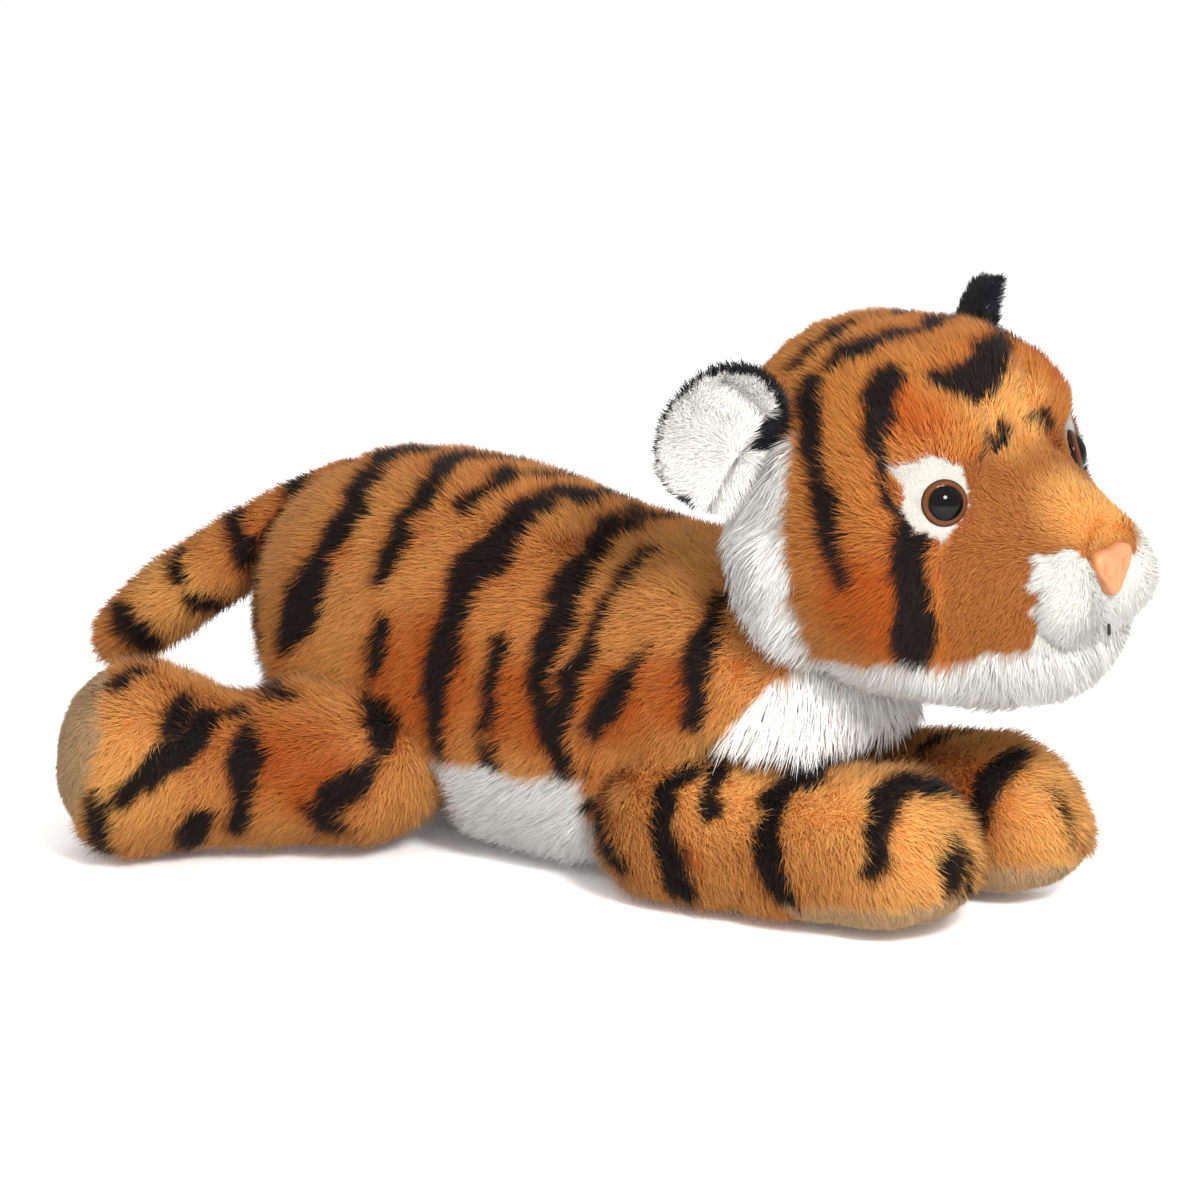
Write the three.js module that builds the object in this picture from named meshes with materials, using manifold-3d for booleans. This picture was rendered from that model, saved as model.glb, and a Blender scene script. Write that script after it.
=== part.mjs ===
// A floppy plush tiger lying on its belly: a sewn toy of striped pile fabric, filled with fibre and
// weighted with small bean pouches. Millimetres, +X towards the nose, +Y to the toy's left, +Z up.
// The origin lies on the floor under the belly.
import * as THREE from 'three';
import { mergeVertices } from 'three/addons/utils/BufferGeometryUtils.js';
import Module from 'manifold-3d';

const wasm = await Module();
wasm.setup();

// Fabric and fits
const plush = 3; // backing and packed pile of the striped fabric
const seamGap = 0.3; // air between pieces that are sewn together
const packGap = 0.7; // air between the fabric and its filling
const turnGap = 0.6; // air round a limb that swings in its seam
const floorTrim = 0.5; // how much the floor flattens each soft form

// Torso: stations along its length, each with its underside, its back and half its width
const torso = {
  rump: { x: -121, low: 8, back: 92, half: 42, dome: 43 },
  hips: { x: -86, low: 7, back: 104, half: 46 },
  loin: { x: -54, low: 4, back: 107, half: 48 },
  waist: { x: -20, low: -floorTrim, back: 101, half: 47 },
  shoulder: { x: 13, low: -floorTrim, back: 96, half: 45 },
  crown: 2.15, // roundness of the back, where 2 is an ellipse
  flank: 2.9, // roundness of the belly, which spreads on the floor
};
const beanPouch = { top: 24, rear: -74, front: 18 };
const bellySeam = { rearX: -48, rearZ: 33, frontX: 28, frontZ: 12 };

// Neck: the chest ends in a ball, and the head nods and turns about its centre
const neck = { x: 42, z: 54, ball: 42, lap: 1.5, gusset: 2.6, lean: 49, rim: 40, hole: 22, reach: 64 };
const bibSeam = { rearX: 50, rearZ: 46, frontX: 74, frontZ: 78 }; // up the side of the chest

// Head: its middle and pose, then stations u forward with floor and crown heights w and half widths
const head = {
  x: 87,
  y: 0,
  z: 109,
  yaw: -6,
  roll: 5,
  back: { u: -45, low: -39, high: 42, half: 38, dome: 29 },
  skull: { u: -18, low: -44, high: 49.5, half: 44 },
  cheek: { u: 4, low: -46, high: 50, half: 47 },
  brow: { u: 26, low: -46, high: 44, half: 45 },
  stop: { u: 37, low: -46, high: 22, half: 32 },
  bridge: { u: 48, low: -44, high: 15, half: 27 },
  muzzle: { u: 57, low: -38, high: 6, half: 22 },
  tip: { u: 66, low: -22, high: -2, half: 17, dome: 10 },
  crown: 2.4, // roundness of the crown, where 2 is an ellipse
  chin: 2.3,
};

const eye = { diameter: 12, dome: 4.2, rim: 0.8, sunk: 0.8, forward: 33, aside: 27, up: 12 };
const eyeLooks = { forward: 0.75, aside: 0.63, up: 0.2 }; // the way that an eye faces
const shank = { diameter: 4, length: 11 };
const washer = { diameter: 12, thick: 1.6, depth: 4.4 };
const eyePatch = { rear: 14.5, top: 11.5, front: 8, low: 10 }; // a drop, from the middle of the eye
const nose = { wide: 16, high: 13, thick: 6.5, bevel: 1.6, up: -8, sunk: 1.5, shankDrop: 4 };
const muzzlePad = { long: 24, wide: 24, high: 29, forward: 57, aside: 10.5, up: -12 };
const mouthStitch = { diameter: 1.6, length: 4, up: -22.5 };
const faceSeam = 40; // where the brown muzzle fabric starts
const jaw = { top: -33, rise: 7, rear: -10, puff: 1.5 }; // rise: degrees, towards the chin
const cheekRuff = { rear: -23, front: -6, top: 4, low: -31, puff: 4 };
const ear = { root: 32, wide: 45, tall: 32, lean: 5, layer: 3, bowl: 55, bead: 2.6, liningFoot: 6, fold: 15 };
const earPlace = { back: -13.5, out: 39.5, up: 18 };
const earRootWay = { forward: 0.46, aside: -0.35, up: 0.81 }; // along the root of an ear
const earFaces = { forward: 0.78, aside: 0.59, up: -0.18 }; // the way that its lining faces

const legRound = { crown: 2.1, flank: 2.5 }; // roundness above and below, where 2 is an ellipse

// Front legs: a shoulder, then a tube that runs forward along the floor to the paw
const frontLeg = {
  shoulder: { x: 34, y: 30, half: 21, top: 44 },
  upper: { x: 57, y: 28, half: 19.5, top: 41 },
  wrist: { x: 78, y: 26, half: 20.5, top: 42 },
  paw: { x: 100, y: 23, half: 22, top: 46 },
  toes: { reach: 24, half: 20, top: 39 },
  leadLeft: 8, // the left leg reaches this much further forward
  sole: { rear: -14, top: 7 },
  beans: -12,
  outward: 25, // how far a leg swings out; inwards the paws touch at once
};

// Rear legs: a thigh beside the hip, then a foot that shows its sole behind
const rearLeg = {
  thigh: { x: -61, y: 41, half: 25, low: 4, top: 50 },
  ankle: { x: -89, y: 63, half: 20.5, low: 4, top: 42 },
  foot: { x: -110, y: 80, half: 26, top: 57 },
  heel: { reach: 24, half: 24.5, top: 53, dome: 17 },
  sole: 8,
  beans: -18,
  inward: 10,
  outward: 25,
};

const tail = {
  root: { x: -95, z: 91, half: 13.5 },
  tip: { x: -162, y: -38, z: 41, half: 11 },
  half: 12.5,
  arch: 4,
  bends: [0.35, 0.7], // where the arch is highest, as shares of the way to the tip
  lift: 50,
  liftSteps: 3,
};

// How finely each form is divided: rings along it and facets round it
const finely = {
  torso: { rings: 18, facets: 22 },
  torsoInside: { rings: 11, facets: 14 },
  head: { rings: 22, facets: 22 },
  headInside: { rings: 17, facets: 14 },
  leg: { rings: 13, facets: 14 },
  legInside: { rings: 8, facets: 10 },
  tail: { rings: 13, facets: 12 },
  tailInside: { rings: 8, facets: 8 },
  ball: 30,
  tailBall: 20,
  turning: 16,
  cone: 30,
};
const farOut = 4; // a line that looks for the surface starts this many times further out

const fabric = (color, roughness = 0.95) =>
  new THREE.MeshStandardMaterial({ color, roughness, metalness: 0 });
const materials = {
  striped: fabric(0xb9601d),
  brown: fabric(0x9a5a26),
  white: fabric(0xe9e8e4),
  black: fabric(0x17151a),
  tan: fabric(0xab8d68),
  fibre: fabric(0xf2f0ea, 1),
  beanCloth: fabric(0xd8d2c4, 0.9),
  thread: fabric(0x0e0d0f, 0.8),
  eyePlastic: fabric(0x3a1c0c, 0.15),
  nosePlastic: fabric(0xf29a66, 0.5),
  washerPlastic: fabric(0xe6e6e6, 0.5),
};

const radians = THREE.MathUtils.degToRad;
const vec = (x, y, z) => new THREE.Vector3(x, y, z);
const upward = vec(0, 0, 1);
const ahead = vec(1, 0, 0);
const sided = ({ forward, aside, up }, side) => vec(forward, side * aside, up).normalize();
const sides = [
  { name: 'right', side: -1 },
  { name: 'left', side: 1 },
];
const toy = new THREE.Group();

// Solids and meshes

function solidOf(geometry) {
  geometry.deleteAttribute('normal');
  geometry.deleteAttribute('uv');
  const merged = mergeVertices(geometry, 1e-4);
  const triVerts = [];
  const index = merged.index.array;
  for (let i = 0; i < index.length; i += 3) {
    const [a, b, c] = index.slice(i, i + 3);
    if (a !== b && b !== c && c !== a) triVerts.push(a, b, c);
  }
  return new wasm.Manifold(
    new wasm.Mesh({
      numProp: 3,
      vertProperties: merged.attributes.position.array,
      triVerts: new Uint32Array(triVerts),
    })
  );
}

function geometryOf(solid) {
  const mesh = solid.getMesh();
  const geometry = new THREE.BufferGeometry();
  geometry.setAttribute('position', new THREE.BufferAttribute(mesh.vertProperties, 3));
  geometry.setIndex(new THREE.BufferAttribute(mesh.triVerts, 1));
  geometry.computeVertexNormals();
  return geometry;
}

// Adds a solid as a named mesh, without the slivers that a cut may leave beside it
function addPiece(parent, name, solid, material) {
  const bodies = solid.decompose().sort((a, b) => b.volume() - a.volume());
  const mesh = new THREE.Mesh(geometryOf(bodies[0]), material);
  mesh.name = name;
  parent.add(mesh);
}

const joined = (solids) => solids.reduce((whole, solid) => whole.add(solid));
const without = (solid, rooms) => rooms.reduce((rest, room) => rest.subtract(room), solid);

// A value that passes smoothly through a list of numbers, for t from 0 to 1
function smoothValue(values, t) {
  const points = values.map((value, i) => new THREE.Vector2(i, value));
  return new THREE.SplineCurve(points).getPoint(t).y;
}

// How far a dome has opened at a run from its pole, from 0 to 1 where the dome ends
function domeShare(run, reach) {
  return run < reach ? Math.sqrt(1 - (1 - run / reach) ** 2) : 1;
}

// A stuffed tube: rounded rings along a smooth line, closed by a dome at each end. The rings stand
// square to the line, or to one direction where the form gives it. grow makes the same form larger
// all round, or smaller when it is negative.
function stuffedTube(form, { rings, facets: count }, grow = 0) {
  const { line, wide, high, domes, crown = 2, flank = crown, square } = form;
  const plain = new THREE.CatmullRomCurve3(line);
  const first = line[0].clone().addScaledVector(square ?? plain.getTangent(0), -grow);
  const last = line.at(-1).clone().addScaledVector(square ?? plain.getTangent(1), grow);
  const curve = new THREE.CatmullRomCurve3([first, ...line.slice(1, -1), last]);
  const length = curve.getLength();
  const rounded = (value, power) => Math.sign(value) * Math.abs(value) ** power;
  const corners = [];
  for (let i = 1; i < rings; i++) {
    const share = (1 - Math.cos((Math.PI * i) / rings)) / 2;
    const t = curve.getUtoTmapping(share);
    const along = square ?? curve.getTangent(t);
    const across = new THREE.Vector3().crossVectors(upward, along).normalize();
    const over = new THREE.Vector3().crossVectors(along, across);
    const start = domeShare(share * length, domes[0] + grow);
    const close = start * domeShare((1 - share) * length, domes[1] + grow);
    for (let k = 0; k < count; k++) {
      const angle = (2 * Math.PI * (k + 0.5)) / count;
      const power = 2 / (Math.sin(angle) > 0 ? crown : flank);
      const aside = rounded(Math.cos(angle), power) * close * (smoothValue(wide, t) + grow);
      const above = rounded(Math.sin(angle), power) * close * (smoothValue(high, t) + grow);
      corners.push(curve.getPoint(t).addScaledVector(across, aside).addScaledVector(over, above));
    }
  }
  const triangles = [];
  for (let i = 0; i < rings - 2; i++) {
    for (let k = 0; k < count; k++) {
      const a = i * count + k;
      const b = i * count + ((k + 1) % count);
      triangles.push(a, b, b + count, a, b + count, a + count);
    }
  }
  const startPole = corners.push(first) - 1;
  const endPole = corners.push(last) - 1;
  const lastRing = (rings - 2) * count;
  for (let k = 0; k < count; k++) {
    const next = (k + 1) % count;
    triangles.push(startPole, next, k, endPole, lastRing + k, lastRing + next);
  }
  const geometry = new THREE.BufferGeometry().setFromPoints(corners);
  geometry.setIndex(triangles);
  return solidOf(geometry);
}

function ball(centre, radius, count = finely.ball) {
  const sphere = new THREE.SphereGeometry(radius, count, count / 2);
  sphere.translate(centre.x, centre.y, centre.z);
  return solidOf(sphere);
}

function ellipsoid(centre, long, wide, high) {
  const sphere = new THREE.SphereGeometry(0.5, 20, 12);
  sphere.scale(long, wide, high);
  sphere.translate(centre.x, centre.y, centre.z);
  return solidOf(sphere);
}

// A box between two corners, where beyond stands for a side that is open
const beyond = 300;
const cutPast = 1; // how far a cut runs past the faces that it opens
function block(x0, x1, y0, y1, z0, z1) {
  const box = new THREE.BoxGeometry(x1 - x0, y1 - y0, z1 - z0);
  box.translate((x0 + x1) / 2, (y0 + y1) / 2, (z0 + z1) / 2);
  return solidOf(box);
}

// Everything on the side of a plane that its normal points to
function halfSpace(point, normal) {
  const box = new THREE.BoxGeometry(2 * beyond, 2 * beyond, beyond);
  box.translate(0, 0, beyond / 2);
  box.applyQuaternion(new THREE.Quaternion().setFromUnitVectors(upward, normal));
  box.translate(point.x, point.y, point.z);
  return solidOf(box);
}

// A turned solid: a profile of radius and height, with its axis from a point along a direction
function turned(profile, point, way, count = finely.turning) {
  const points = profile.map(([radius, height]) => new THREE.Vector2(radius, height));
  const lathe = new THREE.LatheGeometry(points, count);
  lathe.applyQuaternion(new THREE.Quaternion().setFromUnitVectors(vec(0, 1, 0), way));
  lathe.translate(point.x, point.y, point.z);
  return solidOf(lathe);
}

function rod(point, way, from, to, radiusFrom, radiusTo = radiusFrom, count = 12) {
  const profile = [
    [0, from],
    [radiusFrom, from],
    [radiusTo, to],
    [0, to],
  ];
  return turned(profile, point, way, count);
}

// The point where a line meets a solid, coming from outside
function surfaceAt(solid, start, way) {
  const mesh = new THREE.Mesh(geometryOf(solid));
  mesh.updateMatrixWorld();
  return new THREE.Raycaster(start, way.clone().normalize()).intersectObject(mesh)[0].point;
}

const aboveFloor = block(-beyond, beyond, -beyond, beyond, 0, beyond);

// Legs

// The form of a stuffed leg from stations that stand on the floor
function legForm(stations, side, domes) {
  return {
    line: stations.map(({ x, y, low = -floorTrim, top }) => vec(x, side * y, (top + low) / 2)),
    wide: stations.map(({ half }) => half),
    high: stations.map(({ low = -floorTrim, top }) => (top - low) / 2),
    domes,
    ...legRound,
  };
}

function frontLegForm(side) {
  const { shoulder, upper, wrist, paw, toes, leadLeft } = frontLeg;
  const lead = side > 0 ? leadLeft : 0;
  const run = paw.x - shoulder.x;
  const forward = (station) => ({ ...station, x: station.x + (lead * (station.x - shoulder.x)) / run });
  const stations = [
    { ...shoulder, x: shoulder.x - shoulder.half },
    shoulder,
    forward(upper),
    forward(wrist),
    forward(paw),
    { ...toes, x: paw.x + lead + toes.reach, y: paw.y },
  ];
  return legForm(stations, side, [shoulder.half, toes.reach]);
}

function rearLegForm(side) {
  const { thigh, ankle, foot, heel } = rearLeg;
  const way = new THREE.Vector2(foot.x - ankle.x, foot.y - ankle.y).normalize();
  const end = { ...heel, x: foot.x + heel.reach * way.x, y: foot.y + heel.reach * way.y };
  const start = { ...thigh, x: thigh.x - thigh.half * way.x, y: thigh.y - thigh.half * way.y };
  return legForm([start, thigh, ankle, foot, end], side, [thigh.half, heel.dome]);
}

const legs = sides.flatMap(({ name, side }) => {
  const front = frontLegForm(side);
  const rear = rearLegForm(side);
  return [
    {
      name: `front_leg_${name}`,
      form: front,
      isFront: true,
      swing: [0, side * frontLeg.outward],
    },
    {
      name: `rear_leg_${name}`,
      form: rear,
      isFront: false,
      swing: [side * rearLeg.inward, -side * rearLeg.outward],
    },
  ];
});

// The smallest convex outline round some points of a plan
function roundOutline(points) {
  const sorted = [...points].sort((a, b) => a.x - b.x || a.y - b.y);
  const turn = (a, b, c) => b.clone().sub(a).cross(c.clone().sub(a));
  const chain = (list) => {
    const kept = [];
    for (const point of list) {
      while (kept.length > 1 && turn(kept.at(-2), kept.at(-1), point) <= 0) kept.pop();
      kept.push(point);
    }
    return kept.slice(0, -1);
  };
  return [...chain(sorted), ...chain(sorted.reverse())];
}

// The room that a leg sweeps as it swings about the upright line through its root: the outline
// round its plan at both ends of the swing and between, from the floor to just over its top
function swingRoom({ form, swing }, grow) {
  const { line, wide, high, domes } = form;
  const pivot = new THREE.Vector2(line[1].x, line[1].y);
  const curve = new THREE.CatmullRomCurve3(line);
  const plan = [line[0].clone().addScaledVector(curve.getTangent(0), -grow)];
  const steps = 16;
  for (let i = 1; i <= steps; i++) {
    const t = i / steps;
    const centre = curve.getPoint(t);
    const across = new THREE.Vector3().crossVectors(upward, curve.getTangent(t)).normalize();
    const half = smoothValue(wide, t) * domeShare(centre.distanceTo(line[0]), domes[0]) + grow;
    plan.push(centre.clone().addScaledVector(across, half), centre.clone().addScaledVector(across, -half));
  }
  const turns = [0, 0.25, 0.5, 0.75, 1].map((share) => radians(swing[0] + (swing[1] - swing[0]) * share));
  const swept = turns.flatMap((angle) =>
    plan.map(({ x, y }) => new THREE.Vector2(x, y).rotateAround(pivot, angle))
  );
  const room = new THREE.ExtrudeGeometry(new THREE.Shape(roundOutline(swept)), {
    depth: 2 * Math.max(...high) + grow,
    bevelEnabled: false,
  });
  room.translate(0, 0, -floorTrim);
  return solidOf(room);
}

function buildLeg({ name, form, isFront }) {
  const outer = stuffedTube(form, finely.leg).intersect(aboveFloor);
  const shell = outer.subtract(stuffedTube(form, finely.legInside, -plush));
  const core = stuffedTube(form, finely.legInside, -plush - packGap);
  const end = form.line.at(-1);
  const foot = form.line.at(-2);
  let soleSpace;
  let beanSpace;
  if (isFront) {
    const { sole, beans } = frontLeg;
    soleSpace = (gap) =>
      block(foot.x + sole.rear - gap, beyond, -beyond, beyond, -beyond, sole.top + gap);
    beanSpace = (gap) => block(foot.x + beans - gap, beyond, -beyond, beyond, -beyond, beyond);
  } else {
    const { sole, beans } = rearLeg;
    const way = end.clone().sub(foot).setZ(0).normalize();
    soleSpace = (gap) => halfSpace(end.clone().addScaledVector(way, -sole - gap), way);
    beanSpace = (gap) => halfSpace(foot.clone().addScaledVector(way, beans - gap), way);
  }
  addPiece(toy, `${name}_skin`, shell.subtract(soleSpace(seamGap)), materials.striped);
  addPiece(toy, `${name}_sole`, shell.intersect(soleSpace(0)), materials.tan);
  addPiece(toy, `${name}_stuffing`, core.subtract(beanSpace(seamGap)), materials.fibre);
  addPiece(toy, `${name}_bean_pouch`, core.intersect(beanSpace(0)), materials.beanCloth);
}

// Tail

const tailRoot = vec(tail.root.x, 0, tail.root.z);
const tailForm = (() => {
  const tip = vec(tail.tip.x, tail.tip.y, tail.tip.z);
  const outOfRoot = tip.clone().sub(tailRoot).normalize();
  const arched = (share) => tailRoot.clone().lerp(tip, share).addScaledVector(upward, tail.arch);
  const thick = [tail.root.half, tail.root.half, tail.half, tail.half, tail.tip.half];
  return {
    line: [
      tailRoot.clone().addScaledVector(outOfRoot, -tail.root.half),
      tailRoot,
      ...tail.bends.map(arched),
      tip,
    ],
    wide: thick,
    high: thick,
    domes: [tail.root.half, tail.tip.half],
  };
})();

// The tail is cut clear of the rump at every lift, so the rump is turned back by each in its place
function buildTail(torsoAround) {
  const rumpAtRest = torsoAround.subtract(ball(tailRoot, tail.root.half + turnGap / 2, finely.tailBall));
  const turnedBack = (lift) =>
    rumpAtRest
      .translate([-tailRoot.x, 0, -tailRoot.z])
      .rotate([0, -lift, 0])
      .translate([tailRoot.x, 0, tailRoot.z]);
  const lifts = Array.from({ length: tail.liftSteps + 1 }, (_, i) => (tail.lift * i) / tail.liftSteps);
  const rump = joined(lifts.map(turnedBack));
  const inward = tailForm.line[0].clone().sub(tailRoot).normalize();
  const openRoot = rod(tailRoot, inward, 0, beyond, tail.root.half - plush);
  const hollow = stuffedTube(tailForm, finely.tailInside, -plush).add(openRoot);
  const skin = stuffedTube(tailForm, finely.tail).subtract(hollow).subtract(rump);
  const stuffing = stuffedTube(tailForm, finely.tailInside, -plush - packGap).subtract(rump);
  addPiece(toy, 'tail_skin', skin, materials.striped);
  addPiece(toy, 'tail_stuffing', stuffing, materials.fibre);
}

// Torso

const neckPoint = vec(neck.x, 0, neck.z);
const neckWay = vec(Math.cos(radians(neck.lean)), 0, Math.sin(radians(neck.lean)));
const gussetInner = neck.ball + turnGap;
const gussetOuter = gussetInner + neck.gusset;
const headSeat = gussetOuter + turnGap;

// A cone about the line of the neck, from its centre
function neckCone(halfAngle) {
  const reach = 2 * headSeat;
  return rod(neckPoint, neckWay, 0, reach, 0, reach * Math.tan(radians(halfAngle)), finely.cone);
}

const torsoForm = (() => {
  const { rump, hips, loin, waist, shoulder, crown, flank } = torso;
  const half = neck.ball + neck.lap;
  const chest = { x: neck.x, back: neck.z + half, low: neck.z - half, half };
  const stations = [rump, hips, loin, waist, shoulder, chest, { ...chest, x: neck.x + half }];
  return {
    line: stations.map(({ x, back, low }) => vec(x, 0, (back + low) / 2)),
    wide: stations.map(({ half }) => half),
    high: stations.map(({ back, low }) => (back - low) / 2),
    domes: [rump.dome, half],
    crown,
    flank,
  };
})();

// The room that the legs, the tail root and the head's edge take from the torso
function roomsInTorso(grow) {
  const legTop = frontLeg.paw.top + turnGap + grow;
  const head = neckCone(neck.reach).subtract(ball(neckPoint, neck.ball - grow));
  return [
    ...legs.map((leg) => swingRoom(leg, turnGap + grow)),
    block(bibSeam.rearX - grow, beyond, -beyond, beyond, -beyond, legTop),
    ball(tailRoot, tail.root.half + turnGap + grow, finely.tailBall),
    head,
  ];
}

function buildTorso() {
  const outer = without(stuffedTube(torsoForm, finely.torso).intersect(aboveFloor), roomsInTorso(0));
  const hollow = without(stuffedTube(torsoForm, finely.torsoInside, -plush), roomsInTorso(plush));
  const coreWall = plush + packGap;
  const core = without(stuffedTube(torsoForm, finely.torsoInside, -coreWall), roomsInTorso(coreWall));
  const shell = outer.subtract(hollow);

  // What lies below a seam that runs forward along both sides
  const belowSeam = ({ rearX, rearZ, frontX, frontZ }, gap) => {
    const down = vec(frontZ - rearZ, 0, rearX - frontX).normalize();
    return halfSpace(vec(rearX, 0, rearZ).addScaledVector(down, -gap), down);
  };
  const bellySpace = (gap) => belowSeam(bellySeam, gap);
  const chestAhead = (gap) => block(bibSeam.rearX - gap, beyond, -beyond, beyond, -beyond, beyond);
  const bibSpace = (gap) => belowSeam(bibSeam, gap).intersect(chestAhead(gap));
  const pouchSpace = (gap) =>
    block(beanPouch.rear - gap, beanPouch.front + gap, -beyond, beyond, -beyond, beanPouch.top + gap);

  const striped = without(shell, [bellySpace(seamGap), bibSpace(seamGap)]);
  addPiece(toy, 'torso_skin', striped, materials.striped);
  addPiece(toy, 'belly_panel', shell.intersect(bellySpace(0)).subtract(bibSpace(seamGap)), materials.white);
  addPiece(toy, 'chest_bib', shell.intersect(bibSpace(0)), materials.white);
  addPiece(toy, 'torso_stuffing', core.subtract(pouchSpace(seamGap)), materials.fibre);
  addPiece(toy, 'belly_bean_pouch', core.intersect(pouchSpace(0)), materials.beanCloth);

  const gusset = ball(neckPoint, gussetOuter)
    .subtract(ball(neckPoint, gussetInner))
    .intersect(neckCone(neck.rim))
    .subtract(neckCone(neck.hole));
  addPiece(toy, 'neck_gusset', gusset, materials.striped);
}

// Head, in a frame of its own: x is forward, y to the toy's left and z up

const headFrame = new THREE.Group();
headFrame.name = 'head_frame';
headFrame.position.set(head.x, head.y, head.z);
headFrame.rotation.set(radians(head.roll), 0, radians(head.yaw), 'ZYX');
headFrame.updateMatrixWorld();
toy.add(headFrame);

const headForm = (() => {
  const { back, skull, cheek, brow, stop, bridge, muzzle, tip } = head;
  const stations = [back, skull, cheek, brow, stop, bridge, muzzle, tip];
  return {
    line: stations.map(({ u, low, high }) => vec(u, 0, (low + high) / 2)),
    wide: stations.map(({ half }) => half),
    high: stations.map(({ low, high }) => (high - low) / 2),
    domes: [back.dome, tip.dome],
    crown: head.crown,
    flank: head.chin,
    square: ahead,
  };
})();

const headGrown = (grow) => stuffedTube(headForm, finely.head, grow);
const headOuter = headGrown(0);
const headInner = (grow) => stuffedTube(headForm, finely.headInside, grow);
const headCore = headInner(-plush - packGap);
const headHollow = headInner(-plush).add(headInner(seamGap - plush - packGap));
const neckSeat = ball(headFrame.worldToLocal(neckPoint.clone()), headSeat);

// A washer that locks a plastic part's shank behind the fabric, and the room that both take
function washerOf({ point, way }) {
  const top = -washer.depth;
  const low = top - washer.thick;
  const bore = rod(point, way, low - cutPast, top + cutPast, shank.diameter / 2 + seamGap);
  return rod(point, way, low, top, washer.diameter / 2).subtract(bore);
}

// The room of the washer alone, which lies in a dent of the fabric's inner side
function washerDent({ point, way }) {
  const top = -washer.depth + seamGap;
  return rod(point, way, top - washer.thick - 2 * seamGap, top, washer.diameter / 2 + seamGap);
}

function washerRoom({ point, way }) {
  const low = -washer.depth - washer.thick - seamGap;
  const tip = -shank.length - nose.sunk - seamGap;
  const stem = rod(point, way, tip, 0, shank.diameter / 2 + seamGap);
  return rod(point, way, low, plush, washer.diameter / 2 + seamGap).add(stem);
}

// A domed plastic eye, turned in one piece with its shank
function eyeSolid({ point, way }, grow) {
  const radius = eye.diameter / 2 + grow;
  const stem = shank.diameter / 2 + grow;
  const back = -eye.sunk - grow;
  const profile = [
    [0, back - shank.length],
    [stem, back - shank.length],
    [stem, back],
    [radius, back],
  ];
  const arcs = 4;
  for (let i = 0; i <= arcs; i++) {
    const angle = (Math.PI / 2) * (i / arcs);
    const height = eye.rim - eye.sunk + (eye.dome - eye.rim + grow) * Math.sin(angle);
    profile.push([i < arcs ? radius * Math.cos(angle) : 0, height]);
  }
  return turned(profile, point, way);
}

// The moulded nose: a rounded triangle with a dip in its upper edge, and its shank
function noseSolid({ point }, grow) {
  const half = nose.wide / 2 - nose.bevel + grow;
  const high = nose.high / 2 - nose.bevel + grow;
  const outline = new THREE.Shape();
  outline.moveTo(0, -high);
  outline.bezierCurveTo(half * 0.5, -high * 0.9, half * 0.7, -high * 0.4, half, high * 0.1);
  outline.bezierCurveTo(half * 1.1, high * 0.6, half * 0.9, high, half * 0.6, high);
  outline.quadraticCurveTo(0, high * 0.8, -half * 0.6, high);
  outline.bezierCurveTo(-half * 0.9, high, -half * 1.1, high * 0.6, -half, high * 0.1);
  outline.bezierCurveTo(-half * 0.7, -high * 0.4, -half * 0.5, -high * 0.9, 0, -high);
  const body = new THREE.ExtrudeGeometry(outline, {
    depth: nose.thick - 2 * nose.bevel + grow,
    bevelThickness: nose.bevel,
    bevelSize: nose.bevel,
    bevelSegments: 2,
    curveSegments: 4,
  });
  body.applyMatrix4(new THREE.Matrix4().makeBasis(vec(0, 1, 0), upward, ahead));
  body.translate(point.x - nose.sunk + nose.bevel - grow, 0, point.z + nose.shankDrop);
  const stem = rod(point, ahead, -nose.sunk - shank.length - grow, 0, shank.diameter / 2 + grow);
  return solidOf(body).add(stem);
}

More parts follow.
